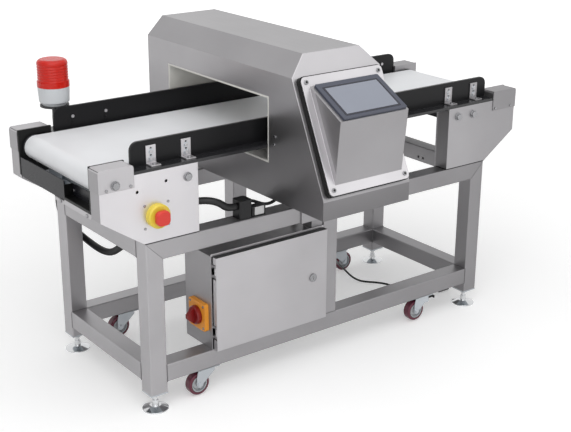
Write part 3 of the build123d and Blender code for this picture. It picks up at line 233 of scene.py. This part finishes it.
def plastic(name, color, rough, grain=FINE_GRAIN, strength=GRAIN_STRENGTH, gloss=0.5):
    """A moulded material of a given gloss."""
    paint = moulded(name, color, rough, grain, strength)
    paint.shader.inputs["Specular IOR Level"].default_value = gloss
    return paint.material


ALONG_X, ALONG_Y, ALONG_Z = (6, 700, 700), (700, 6, 700), (700, 700, 6)
GREY = (0.975, 0.953, 0.982)
DARK = (0.02, 0.02, 0.02)
# Between these two places along X, in metres, painted shade takes steel from one shade of itself to the other
PAINTED_SHADE_X = (-0.6, 0.6)
INFEED_SHADE, OUTFEED_SHADE = 1.04, 0.70


def grey(tone):
    """The colour of steel at a tone; the steel pieces' different tones are painted light and shade."""
    return tuple(tone * c for c in GREY)


def steel_paint(name, tone, along, rough=SATIN, far=OUTFEED_SHADE):
    """Stainless sheet, with painted shade making it darker towards the outfeed end."""
    paint = brushed(name, grey(tone), along, rough)
    paint.fade(paint.along((0, 0, 0), X_AXIS), *PAINTED_SHADE_X, INFEED_SHADE, far)
    return paint


def steel(name, tone, along, rough=SATIN, far=OUTFEED_SHADE):
    """The material of a piece of stainless sheet."""
    return steel_paint(name, tone, along, rough, far).material


# The places below are in millimetres, and what is multiplied by MM is a distance in metres

# Depth to which the painted shade on a face reaches into a piece
FACE_DEPTH = 0.3 * MM

# Places on the product guides
GUIDE_Y = 205.0
GUIDE_HALF = 4.15 * MM
GUIDE_SCREW_MIDDLE = 691.0

# Places on the head and on the control box, whose flange lies on the sloped nose
HEAD_X = -74.0
# Heights, in metres, over which painted shade darkens the head towards its foot
HEAD_SHADE_SPAN = (530 * MM, 800 * MM)
NOSE_EDGE = (0, -474, 575)
NOSE_OUT = (0, -0.9075, 0.4201)
NOSE_UP = (0, 0.4201, 0.9075)
# Depth from the nose's plane of the painted highlight on the head
NOSE_HIGHLIGHT_DEPTH = 2.0 * MM
FLANGE_TOP = 18.3 * MM
FLANK_X = -184.6
FLANK_FOLD = 33 * MM

# Places on the side covers, their caps and the recess between them
COVER_END = 715.0
COVER_BOTTOM = 475.0
# Height of the painted shadow line along the covers' foot
COVER_SHADOW_HEIGHT = 2.2 * MM
CAP_END = 717.0
RETURN_X = 437.0
RETURN_HALF = 0.4 * MM
RECESS_X = -600.0
RECESS_LOW = 565.6

# Places on the cabinet
CABINET_TOP = 398.0
CABINET_ENDS = (-404.0, -31.0)
DOOR_TOP = 397.0

black = plastic("black_plastic", (0.009, 0.009, 0.010), 0.34, gloss=0.28)
cord_black = plastic("cord_black", (0.010, 0.010, 0.011), 0.42, gloss=0.4)
rubber = plastic("seal_rubber", (0.006, 0.006, 0.006), 0.60, gloss=0.2)
zinc = brushed("zinc_plate", (0.50, 0.53, 0.56), (90, 90, 90), (0.26, 0.40)).material
bright = brushed("bright_steel", (0.30, 0.30, 0.31), (300, 300, 300), (0.20, 0.32), 1.0).material
chrome = brushed("chrome", (0.66, 0.67, 0.68), (40, 40, 40), (0.06, 0.14), 1.0).material
alloy = brushed("turned_alloy", (0.52, 0.52, 0.53), (5, 400, 5), (0.28, 0.38)).material
dark_paint = plastic("dark_paint", (0.010, 0.010, 0.013), 0.26, gloss=0.2)
liner_white = plastic("liner_white", (0.72, 0.71, 0.67), 0.45)

lens_paint = Paint("red_lens", (0.66, 0.015, 0.006), 0.24)
lens_paint.shader.inputs["Transmission Weight"].default_value = 0.12
lens_paint.shader.inputs["IOR"].default_value = 1.45
lens_paint.shader.inputs["Specular IOR Level"].default_value = 0.35
lens_paint.vary(lens_paint.noise(scale=12.0), low=0.92, high=1.05)

# Height, in metres, up to which the beacon's base is black
BEACON_SEAT = 0.7268
beacon_grey = moulded("beacon_grey", (0.60, 0.62, 0.64), 0.40)
below = beacon_grey.math("LESS_THAN", (beacon_grey.place(), "Z"), BEACON_SEAT)
beacon_grey.two_tone(below, (0.016, 0.016, 0.018))

# Each ring of a caster's wheel: its radius in millimetres and its colour
HUB_RINGS = (
    (24.4, DARK),
    (23.0, (0.42, 0.44, 0.46)),
    (17.6, (0.05, 0.05, 0.05)),
    (16.2, (0.50, 0.51, 0.53)),
)


def wheel_paint(name, node):
    """Maroon tread outside the grey hub of a caster's wheel, with dark rings about the hub."""
    low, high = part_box(node)
    middle = [(a + b) / 2 for a, b in zip(low, high)]
    paint = moulded(name, (0.115, 0.012, 0.032), 0.26)
    parts = paint.place()
    across = paint.math("SUBTRACT", (parts, "X"), middle[0])
    up = paint.math("SUBTRACT", (parts, "Z"), middle[2])
    flat = paint.math("POWER", (across, 0), 2.0)
    tall = paint.math("POWER", (up, 0), 2.0)
    reach = paint.math("ADD", (flat, 0), (tall, 0))
    for radius, tone in HUB_RINGS:
        paint.two_tone(paint.math("LESS_THAN", (reach, 0), (radius * MM) ** 2), tone)
    return paint.material


def guide_paint(name, side):
    """Black guide plate with its steel screws, which stand proud of the plate's faces."""
    paint = moulded(name, (0.009, 0.009, 0.010), 0.34)
    paint.shader.inputs["Specular IOR Level"].default_value = 0.20
    outward = paint.along(point(0, side * GUIDE_Y, 0), (0, side, 0))
    outer = paint.math("GREATER_THAN", outward, GUIDE_HALF)
    inner = paint.math("LESS_THAN", outward, -GUIDE_HALF)
    upper = paint.math("GREATER_THAN", paint.along(point(0, 0, GUIDE_SCREW_MIDDLE), Z_AXIS), 0.0)
    screw = paint.math("ADD", (outer, 0), (paint.math("MULTIPLY", (inner, 0), (upper, 0)), 0))
    paint.two_tone(screw, (0.50, 0.49, 0.50))
    paint.join(screw, 0, paint.shader, "Metallic")
    return paint.material


def wedge_paint():
    """The control box: a painted highlight on the flange on the sloped nose, and painted shade on the flank
    past its fold.
    """
    paint = brushed("wedge_steel", grey(0.34), ALONG_Z)
    above = paint.along(point(*NOSE_EDGE), NOSE_OUT)
    flank = paint.math("GREATER_THAN", paint.along(point(FLANK_X, 0, 0), (-1, 0, 0)), 0.0)
    past_fold = paint.math("GREATER_THAN", above, FLANK_FOLD)
    # Painted shade on the flank past its fold
    paint.two_tone(paint.math("MULTIPLY", (flank, 0), (past_fold, 0)), grey(0.23))
    # Painted highlight on the flange
    paint.two_tone(paint.within(above, FLANGE_TOP), grey(0.64))
    return paint.material


def head_paint():
    """The head's skin: a painted highlight on the sloped nose and along its edge, and painted shade darker
    towards its foot.
    """
    paint = steel_paint("head_steel", 0.365, (600, 5, 600), (0.28, 0.40))
    above = paint.along(point(*NOSE_EDGE), NOSE_OUT)
    paint.two_tone(paint.within(above, NOSE_HIGHLIGHT_DEPTH), grey(0.60))
    paint.fade(paint.along((0, 0, 0), Z_AXIS), *HEAD_SHADE_SPAN, before=0.56, after=1.0)
    return paint.material


def infeed_end(paint, end):
    """1 on the faces at a piece's infeed end."""
    return paint.math("LESS_THAN", paint.along(point(end, 0, 0), X_AXIS), FACE_DEPTH)


def cap_paint():
    """The covers' end caps, with painted shade darker on their infeed ends."""
    paint = steel_paint("cap_steel", 0.47, ALONG_X, far=0.60)
    paint.two_tone(infeed_end(paint, -CAP_END), grey(0.30))
    return paint.material


def side_plate_paint():
    """The inner side plates, painted black as shade in the recess at the infeed end."""
    paint = steel_paint("side_plate_steel", 0.45, ALONG_X)
    inside = paint.math("LESS_THAN", paint.along(point(RECESS_X, 0, 0), X_AXIS), 0.0)
    above = paint.math("GREATER_THAN", paint.along(point(0, 0, RECESS_LOW), Z_AXIS), 0.0)
    paint.two_tone(paint.math("MULTIPLY", (inside, 0), (above, 0)), DARK)
    return paint.material


def cover_paint():
    """The side covers: a painted shadow line above the rail, and painted shade on the return at the outfeed
    covers' inner end and on the infeed end faces.
    """
    paint = steel_paint("cover_steel", 0.62, ALONG_X, far=0.54)
    low = paint.math("LESS_THAN", paint.along(point(0, 0, COVER_BOTTOM), Z_AXIS), COVER_SHADOW_HEIGHT)
    return_end = paint.within(paint.along(point(RETURN_X, 0, 0), X_AXIS), RETURN_HALF)
    paint.two_tone(return_end, grey(0.34))
    paint.two_tone(infeed_end(paint, -COVER_END), grey(0.32))
    paint.two_tone(low, (0.05, 0.05, 0.05))
    return paint.material


def door_paint():
    """The cabinet's door, with its top edge painted dark as the shade in the gap under the cabinet's top."""
    paint = steel_paint("door_steel", 0.52, ALONG_X)
    top = paint.math("GREATER_THAN", paint.along(point(0, 0, DOOR_TOP), Z_AXIS), -FACE_DEPTH)
    paint.two_tone(top, DARK)
    return paint.material


# The stainless pieces below get different tones as painted light and shade
finishes = {
    "frame_uprights": steel("upright_steel", 0.39, ALONG_Z),
    "frame_long_rails": steel("long_rail_steel", 0.36, ALONG_X),
    "frame_cross_rails": steel("cross_rail_steel", 0.37, ALONG_Y),
    "mounting_plates": zinc,
    "side_covers": cover_paint(),
    "cover_end_caps": cap_paint(),
    "conveyor_side_plates": side_plate_paint(),
    "roller_bearings": dark_paint,
    "slider_bed": steel("bed_steel", 0.50, ALONG_X),
    "bed_side_rails": plastic("black_rail", (0.016, 0.016, 0.018), 0.24),
    "conveyor_cross_members": dark_paint,
    "conveyor_belt": plastic("belt_white", (0.80, 0.81, 0.83), 0.42, 1500.0, 0.12),
    "idler_roller": alloy, "drive_roller": alloy,
    "return_roller_infeed": alloy, "return_roller_outfeed": alloy,
    "gear_motor": plastic("motor_paint", (0.10, 0.12, 0.14), 0.45),
    "motor_pulley": alloy, "timing_belt": rubber,
    "front_guide": guide_paint("front_guide_paint", -1), "back_guide": guide_paint("back_guide_paint", 1),
    "guide_brackets": steel("bracket_steel", 0.55, ALONG_Z),
    "detector_head": head_paint(),
    "aperture_liner": liner_white, "coil_block": liner_white,
    "head_supports": steel("support_steel", 0.40, ALONG_Y),
    "control_box_gasket": rubber,
    "control_box": wedge_paint(),
    "touch_panel": plastic("bezel_slate", (0.045, 0.052, 0.080), 0.30),
    "cabinet_body": steel("cabinet_steel", 0.34, ALONG_Y),
    "cabinet_door": door_paint(),
    "door_lock": bright,
    "cabinet_equipment": plastic("grey_plastic", (0.62, 0.65, 0.66), 0.42),
    "isolator_plate": plastic("orange_plastic", (0.85, 0.33, 0.03), 0.35),
    "isolator_knob": plastic("dark_red_plastic", (0.20, 0.004, 0.004), 0.30),
    "estop_housing": plastic("yellow_plastic", (0.80, 0.62, 0.06), 0.38),
    "estop_button": plastic("red_plastic", (0.70, 0.035, 0.022), 0.32),
    "beacon_base": beacon_grey.material, "beacon_lens": lens_paint.material,
    "conduit": cord_black, "junction_box": black, "cord_gland": cord_black,
    "power_cord": cord_black, "cord_coil": cord_black, "power_plug": cord_black,
    "machine_screws": bright,
}
for name, node in nodes.items():
    finish = finishes.get(name)
    if name.startswith("levelling_foot"):
        finish = chrome
    elif name.startswith("caster_wheel"):
        finish = wheel_paint(name + "_paint", name)
    elif name.startswith("caster_fork"):
        finish = zinc
    elif name.startswith("brake_pedal"):
        finish = black
    node.data.materials.clear()
    node.data.materials.append(finish)


# Pieces

def add_piece(name, mesh, material, body):
    """A mesh as a piece of the scene, on one of the part's bodies."""
    piece = bpy.data.objects.new(name, mesh)
    bpy.context.scene.collection.objects.link(piece)
    mesh.materials.append(material)
    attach(piece, body)
    return piece


def curve_line(name, points, radius, material=None):
    """An open NURBS line through metres, as thick as a cable."""
    data = bpy.data.curves.new(name, "CURVE")
    data.dimensions = "3D"
    data.resolution_u = 6
    data.bevel_depth = radius
    data.bevel_resolution = 5
    data.use_fill_caps = True
    spline = data.splines.new("NURBS")
    spline.points.add(len(points) - 1)
    for target, spot in zip(spline.points, points):
        target.co = (*spot, 1.0)
    spline.order_u = 3
    spline.use_endpoint_u = True
    line = bpy.data.objects.new(name, data)
    bpy.context.scene.collection.objects.link(line)
    if material:
        data.materials.append(material)
    return line


def line_samples(name, points, resolution=12):
    """Points along the NURBS line of a route, in order."""
    line = curve_line(name, points, 0.0)
    line.data.resolution_u = resolution
    line.data.use_fill_caps = False
    mesh = bpy.data.meshes.new_from_object(line)
    spots = [v.co.copy() for v in mesh.vertices]
    bpy.data.meshes.remove(mesh)
    bpy.data.objects.remove(line)
    return spots


def even_steps(spots, step):
    """The same line at equal steps."""
    lengths = [0.0]
    for a, b in zip(spots, spots[1:]):
        lengths.append(lengths[-1] + (b - a).length)
    count = max(2, round(lengths[-1] / step))
    result = []
    index = 0
    for k in range(count + 1):
        want = lengths[-1] * k / count
        while index < len(lengths) - 2 and lengths[index + 1] < want:
            index += 1
        part = (want - lengths[index]) / max(1e-9, lengths[index + 1] - lengths[index])
        result.append(spots[index].lerp(spots[index + 1], min(1.0, part)))
    return result


def tube_mesh(name, runs, sides=20):
    """Tubes along lines, each given as its points and a radius at each point."""
    body = bmesh.new()
    for spots, radii in runs:
        rings = []
        normal = None
        for index, spot in enumerate(spots):
            ahead = spots[min(index + 1, len(spots) - 1)] - spots[max(index - 1, 0)]
            ahead.normalize()
            if normal is None:
                normal = ahead.orthogonal().normalized()
            normal = (normal - ahead * normal.dot(ahead)).normalized()
            side = ahead.cross(normal)
            ring = []
            for k in range(sides):
                angle = 2 * math.pi * k / sides
                out = math.cos(angle) * normal + math.sin(angle) * side
                ring.append(body.verts.new(spot + radii[index] * out))
            rings.append(ring)
        for a, b in zip(rings, rings[1:]):
            for k in range(sides):
                n = (k + 1) % sides
                body.faces.new((a[k], a[n], b[n], b[k]))
        body.faces.new(list(reversed(rings[0])))
        body.faces.new(rings[-1])
    for face in body.faces:
        face.smooth = len(face.verts) == 4
    mesh = bpy.data.meshes.new(name)
    body.to_mesh(mesh)
    body.free()
    return mesh


# Power cord: the route, then the turns of the coil
CORD_R = 3.25
COIL = (508.0, -68.0)
COIL_STRETCH = 1.035
CLIMB_START, CLIMB_LENGTH = 0.7, 0.3
cord_route = [
    (-60, -150, 432), (-60, -150, 454), (-50, -148, 476), (-28, -143, 488), (-6, -138, 480),
    (8, -134, 458), (17, -131, 426), (30, -126, 386), (50, -116, 344), (80, -98, 302),
    (118, -72, 260), (162, -38, 216), (210, 4, 172), (262, 50, 130), (316, 104, 90),
    (359, 122, 52), (392, 119, 16), (412, 102, 3.3), (425, 82, 3.3), (446, 60, 3.3),
    (463, 36, 3.3), (470, 12, 3.3), (473, -14, 3.3), (474, -41.8, 3.3),
]
turn_radii = (40.5, 34.0, 27.5, 30.75, 37.25, 34.0, 40.5)
turn_heights = (3.3, 3.3, 3.3, 8.9, 8.9, 14.5, 14.5)
last_turn = len(turn_radii) - 1
coil_route = []
first_angle = 142.4
last_angle = 270 + last_turn * 360
steps = 77
for k in range(1, steps):
    degrees = first_angle + (last_angle - first_angle) * k / steps
    along = (degrees - first_angle) / 360
    layer = int(along)
    ease = max(0.0, (along - layer - CLIMB_START) / CLIMB_LENGTH)
    ahead = min(layer + 1, last_turn)
    radius = turn_radii[layer] + ease * (turn_radii[ahead] - turn_radii[layer])
    height = turn_heights[layer] + ease * (turn_heights[ahead] - turn_heights[layer])
    angle = math.radians(degrees)
    x = COIL[0] + COIL_STRETCH * radius * math.cos(angle)
    y = COIL[1] + COIL_STRETCH * radius * math.sin(angle)
    coil_route.append((x, y, height))
coil_route += [
    (COIL[0], COIL[1] - 40.9, 14.2), (COIL[0] + 12, COIL[1] - 40.5, 13.6),
    (COIL[0] + 24, COIL[1] - 40.5, 13.5),
]
cord = curve_line("power_cord_line", [point(*p) for p in cord_route + coil_route], CORD_R * MM, cord_black)
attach(cord, "machine")
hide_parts("power_cord", "cord_coil")

# Conduit: a corrugated hose, and the thin sensor cable beside it
conduit_route = [
    (-580, 262, 470), (-580, 262, 436), (-573, 262, 403), (-556, 261, 372), (-524, 252, 334),
    (-508, 222, 314), (-506, 180, 310), (-507, 135, 314), (-512, 85, 330), (-520, 30, 362),
    (-527, -20, 394), (-524, -62, 430), (-514, -98, 468), (-500, -138, 502), (-476, -168, 523),
    (-445, -180, 533), (-416, -190, 537), (-384, -208, 538), (-356, -219, 528), (-334, -220, 508),
    (-306, -220, 508),
]
sensor_route = [
    (-268, -206, 510), (-248, -206, 510), (-228, -206, 500), (-206, -206, 490),
    (-184, -206, 488), (-160, -206, 497), (-160, -206, 520.7),
]
HOSE_STEP = 0.002
RIB_TOP, RIB_FOOT = 10.0, 8.9
SENSOR_STEP = 0.006
SENSOR_R = 4.4 * MM
hose_line = even_steps(line_samples("hose_route", [point(*p) for p in conduit_route]), HOSE_STEP)
hose_radii = [MM * (RIB_TOP if k % 2 else RIB_FOOT) for k in range(len(hose_line))]
hose = add_piece("conduit_hose", tube_mesh("conduit_hose", [(hose_line, hose_radii)]),
                 cord_black, "machine")
sensor_line = even_steps(line_samples("sensor_line", [point(*p) for p in sensor_route]), SENSOR_STEP)
sensor_radii = [SENSOR_R] * len(sensor_line)
sensor = add_piece("sensor_cable", tube_mesh("sensor_cable", [(sensor_line, sensor_radii)], 16),
                   cord_black, "machine")
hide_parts("conduit")
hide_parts("conduit")


# Thin pieces of sheet, glass and rubber

def rounded_loop(width, height, radius, steps=6):
    """A rounded rectangle about the origin, counter-clockwise."""
    loop = []
    for corner in range(4):
        across = (1, -1, -1, 1)[corner] * (width / 2 - radius)
        up = (1, 1, -1, -1)[corner] * (height / 2 - radius)
        for k in range(steps + 1):
            angle = math.pi / 2 * (corner + k / steps)
            loop.append((across + radius * math.cos(angle), up + radius * math.sin(angle)))
    return loop


def lowered(loop, drop):
    """The same loop, lower down its plane."""
    return [(u, v - drop) for u, v in loop]


def raised(body, loop, plane, level):
    """A loop's points in a mesh, at a level above a plane."""
    origin, across, up, out = plane
    return [body.verts.new(origin + across * u + up * v + out * level) for u, v in loop]


def flat_mesh(name, shapes):
    """Closed flat shapes; each is an outer loop, an inner loop or None, a plane, and two levels."""
    body = bmesh.new()
    for outer, inner, plane, low, high in shapes:
        bottom = raised(body, outer, plane, low)
        top = raised(body, outer, plane, high)
        count = len(outer)
        for k in range(count):
            n = (k + 1) % count
            body.faces.new((bottom[k], bottom[n], top[n], top[k]))
        if inner:
            hole_bottom = raised(body, inner, plane, low)
            hole_top = raised(body, inner, plane, high)
            for k in range(count):
                n = (k + 1) % count
                body.faces.new((hole_bottom[n], hole_bottom[k], hole_top[k], hole_top[n]))
                body.faces.new((top[k], top[n], hole_top[n], hole_top[k]))
                body.faces.new((bottom[n], bottom[k], hole_bottom[k], hole_bottom[n]))
        else:
            body.faces.new(top)
            body.faces.new(list(reversed(bottom)))
    bmesh.ops.remove_doubles(body, verts=body.verts, dist=1e-6)
    mesh = bpy.data.meshes.new(name)
    body.to_mesh(mesh)
    body.free()
    return mesh


def plane_at(origin, across, up):
    """A plane in metres whose loops and levels are given in millimetres."""
    across, up = Vector(across), Vector(up)
    return point(*origin), across * MM, up * MM, across.cross(up) * MM


def add_flat(name, shapes, material, body="machine"):
    """Flat shapes as one piece."""
    add_piece(name, flat_mesh(name, shapes), material, body)


# The touch panel: a printed frame and the glass inside it, on the bezel's face
PANEL = plane_at((-70.5, -432.31, 808.50), X_AXIS, (0, 0.8842, 0.4672))
PANEL_FACE = 6.0
SCREEN = (168.0, 98.0)
SCREEN_DROP = 2.5
SCREEN_BORDER = (13, 12)
GLASS_CORNER, PRINT_CORNER = 1.5, 3.0
PRINT_RISE, GLASS_RISE = 0.35, 0.6
frame_print = plastic("frame_print", (0.006, 0.007, 0.020), 0.22)
glass = plastic("screen_glass", (0.26, 0.28, 0.335), 0.12, 300.0, 0.01)
screen_loop = lowered(rounded_loop(*SCREEN, GLASS_CORNER), SCREEN_DROP)
frame_size = [side + border for side, border in zip(SCREEN, SCREEN_BORDER)]
frame_loop = lowered(rounded_loop(*frame_size, PRINT_CORNER), SCREEN_DROP)
add_flat("screen_frame", [(frame_loop, screen_loop, PANEL, PANEL_FACE, PANEL_FACE + PRINT_RISE)], frame_print)
add_flat("touch_screen", [(screen_loop, None, PANEL, PANEL_FACE, PANEL_FACE + GLASS_RISE)], glass)

# A dark rubber lip all round the control box's flange: partly the seal, partly painted shadow under the
# flange
FLANGE = (264, 304)
FLANGE_RISE = 158
LIP_OUT, LIP_IN = 5, 12
OUTER_CORNER, INNER_CORNER = 14, 8
LIP_LEVELS = (0.2, 13.8)
flange_middle = [edge + FLANGE_RISE * up for edge, up in zip(NOSE_EDGE, NOSE_UP)]
NOSE = plane_at((HEAD_X, *flange_middle[1:]), X_AXIS, NOSE_UP)
lip_outer = rounded_loop(FLANGE[0] + LIP_OUT, FLANGE[1] + LIP_OUT, OUTER_CORNER)
lip_inner = rounded_loop(FLANGE[0] - LIP_IN, FLANGE[1] - LIP_IN, INNER_CORNER)
add_flat("seal_and_shadow_lip", [(lip_outer, lip_inner, NOSE, *LIP_LEVELS)], rubber)

# The lip along the front of the cabinet's top, light as a painted highlight
LIP_HEIGHT, LIP_DEPTH = 5.5, 2.5
LIP_BACK = -243.5
LIP = plane_at((sum(CABINET_ENDS) / 2, LIP_BACK, CABINET_TOP + LIP_HEIGHT / 2), X_AXIS, Z_AXIS)
lip_loop = rounded_loop(CABINET_ENDS[1] - CABINET_ENDS[0], LIP_HEIGHT, 0.5, 2)
add_flat("cabinet_lip", [(lip_loop, None, LIP, 0, LIP_DEPTH)], steel("lip_highlight_steel", 0.70, ALONG_X))

# Dark discs on the flange's screws, as painted shade in their sockets
SCREW_OUT, SCREW_UP = 118, 138
SOCKET = 6.4
SOCKET_LEVELS = (20.52, 20.7)
sockets = []
for u in (-SCREW_OUT, SCREW_OUT):
    for v in (-SCREW_UP, SCREW_UP):
        spot = [(u + a, v + b) for a, b in rounded_loop(SOCKET, SOCKET, SOCKET / 2, 3)]
        sockets.append((spot, None, NOSE, *SOCKET_LEVELS))
add_flat("screw_sockets", sockets, rubber)

# Weld beads where the stand's tubes meet
TUBE = 50.0
LEG_X, LEG_Y = 570.0, 220.0
LOW_RAIL, TOP_RAIL = 105.0, 450.0
POST_X = -5.0
BEAD = 1.2 * MM
BEAD_SIZE = TUBE + 0.4
TUBE_CORNER = 3.0
MITRE_SPOTS = (-0.94, 0, 0.94)
half = TUBE / 2
joints = []
for side in (-1, 1):
    for end in (-1, 1):
        joints.append(((end * (LEG_X - half), side * LEG_Y, LOW_RAIL), Y_AXIS, Z_AXIS))
    for z in (LOW_RAIL + half, TOP_RAIL - half):
        joints.append(((POST_X, side * LEG_Y, z), X_AXIS, Y_AXIS))
    for end in (-1, 1):
        for z in (LOW_RAIL, TOP_RAIL):
            joints.append(((end * LEG_X, side * (LEG_Y - half), z), X_AXIS, Z_AXIS))
beads = []
for middle, across, up in joints:
    origin, u, v, _ = plane_at(middle, across, up)
    loop = rounded_loop(BEAD_SIZE, BEAD_SIZE, TUBE_CORNER, 4)
    line = [origin + a * u + b * v for a, b in loop + loop[:1]]
    beads.append((line, [BEAD] * len(line)))
for side in (-1, 1):
    for end in (-1, 1):
        face = side * (LEG_Y + half)
        line = [point(end * (LEG_X + half * k), face, TOP_RAIL + half * k) for k in MITRE_SPOTS]
        beads.append((line, [BEAD / 2] * len(line)))
add_piece("weld_beads", tube_mesh("weld_beads", beads, 8), steel("weld_steel", 0.24, ALONG_X), "machine")

# A washer under each outer screw of the product guides
BELT_TOP = 668.0
BRACKET_FACE = 212.3
BRACKET_SCREWS_X = (-551.0, -450.0, 463.0, 567.0)
SCREW_RISES = (14.0, 32.0)
WASHER, WASHER_HOLE = 15, 5.4
WASHER_LEVELS = (0.02, 0.28)
rim = rounded_loop(WASHER, WASHER, WASHER / 2)
hole = rounded_loop(WASHER_HOLE, WASHER_HOLE, WASHER_HOLE / 2)
for side, body_name in ((-1, "front_guide"), (1, "back_guide")):
    washers = []
    for x in BRACKET_SCREWS_X:
        for rise in SCREW_RISES:
            spot = plane_at((x, side * BRACKET_FACE, BELT_TOP + rise), (-side, 0, 0), Z_AXIS)
            washers.append((rim, hole, spot, *WASHER_LEVELS))
    add_flat(body_name + "_washers", washers, zinc, body_name)

# A bare plate on the small block beside the junction box
PLATE = plane_at((-244.0, -238.0, 490.0), X_AXIS, Z_AXIS)
PLATE_SIZE, PLATE_CORNER = (30, 22), 2
PLATE_LEVELS = (0.02, 0.6)
plate_loop = rounded_loop(*PLATE_SIZE, PLATE_CORNER)
plate_white = plastic("plate_white", (0.55, 0.55, 0.55), 0.45)
add_flat("junction_plate", [(plate_loop, None, PLATE, *PLATE_LEVELS)], plate_white)


# Floor, surroundings and light

def box_mesh(name, low, high):
    """A box between two corners."""
    mesh = bpy.data.meshes.new(name)
    body = bmesh.new()
    bmesh.ops.create_cube(body, size=1.0)
    for v in body.verts:
        v.co = Vector([low[i] + (v.co[i] + 0.5) * (high[i] - low[i]) for i in range(3)])
    body.to_mesh(mesh)
    body.free()
    return mesh


def seen_ray(tree):
    """1 for camera, glossy and transmission rays, 0 for the rays that light the object."""
    ray = tree.nodes.new("ShaderNodeLightPath")
    first = tree.nodes.new("ShaderNodeMath")
    second = tree.nodes.new("ShaderNodeMath")
    first.operation = second.operation = "MAXIMUM"
    tree.links.new(ray.outputs["Is Camera Ray"], first.inputs[0])
    tree.links.new(ray.outputs["Is Glossy Ray"], first.inputs[1])
    tree.links.new(first.outputs[0], second.inputs[0])
    tree.links.new(ray.outputs["Is Transmission Ray"], second.inputs[1])
    return second


FLOOR_LOW, FLOOR_HIGH = (-12, -12, -0.02), (12, 12, 0.0)
FLOOR_GLOW = (0.30, 0.80)
GLOW_REACH = (1.0, 4.5)
floor = bpy.data.objects.new("floor", box_mesh("floor", FLOOR_LOW, FLOOR_HIGH))
bpy.context.scene.collection.objects.link(floor)
floor_paint = Paint("floor", (0.86, 0.86, 0.86), 0.7)
floor.data.materials.append(floor_paint.material)
tree = floor_paint.tree
spread = floor_paint.add("ShaderNodeVectorMath")
spread.operation = "LENGTH"
floor_paint.join(floor_paint.add("ShaderNodeTexCoord"), "Object", spread, 0)
rise = floor_paint.add("ShaderNodeMapRange", From_Min=GLOW_REACH[0], From_Max=GLOW_REACH[1],
                       To_Min=FLOOR_GLOW[0], To_Max=FLOOR_GLOW[1])
floor_paint.join(spread, "Value", rise, "Value")
glow = floor_paint.math("MULTIPLY", (seen_ray(tree), 0), (rise, 0))
light = floor_paint.add("ShaderNodeEmission")
floor_paint.join(glow, 0, light, "Strength")
both = floor_paint.add("ShaderNodeAddShader")
tree.links.new(floor_paint.shader.outputs[0], both.inputs[0])
tree.links.new(light.outputs[0], both.inputs[1])
tree.links.new(both.outputs[0], tree.nodes["Material Output"].inputs["Surface"])

SKY_LIGHT, SKY_SEEN = 0.42, 1.0
world = bpy.data.worlds.new("studio")
bpy.context.scene.world = world
world.use_nodes = True
sky = world.node_tree
ground = sky.nodes["Background"]
level = sky.nodes.new("ShaderNodeMapRange")
level.inputs["To Min"].default_value = SKY_LIGHT
level.inputs["To Max"].default_value = SKY_SEEN
sky.links.new(seen_ray(sky).outputs[0], level.inputs["Value"])
sky.links.new(level.outputs["Result"], ground.inputs["Strength"])
ground.inputs["Color"].default_value = (1, 1, 1, 1)


def lamp(name, place, aim, size, power):
    """A square soft lamp, in metres and watts, turned to what it lights."""
    data = bpy.data.lights.new(name, "AREA")
    data.size = size
    data.energy = power
    thing = bpy.data.objects.new(name, data)
    thing.location = place
    thing.rotation_euler = (Vector(aim) - Vector(place)).to_track_quat("-Z", "Y").to_euler()
    bpy.context.scene.collection.objects.link(thing)


lamp("key", (-2.0, -2.6, 2.7), (-0.3, 0, 0.5), 4.0, 62)
lamp("top", (-0.3, -0.6, 3.4), (0, 0, 0.6), 3.6, 42)
lamp("fill", (2.6, -2.4, 1.8), (0, 0, 0.5), 2.4, 6)

bpy.context.scene.view_settings.view_transform = "Standard"
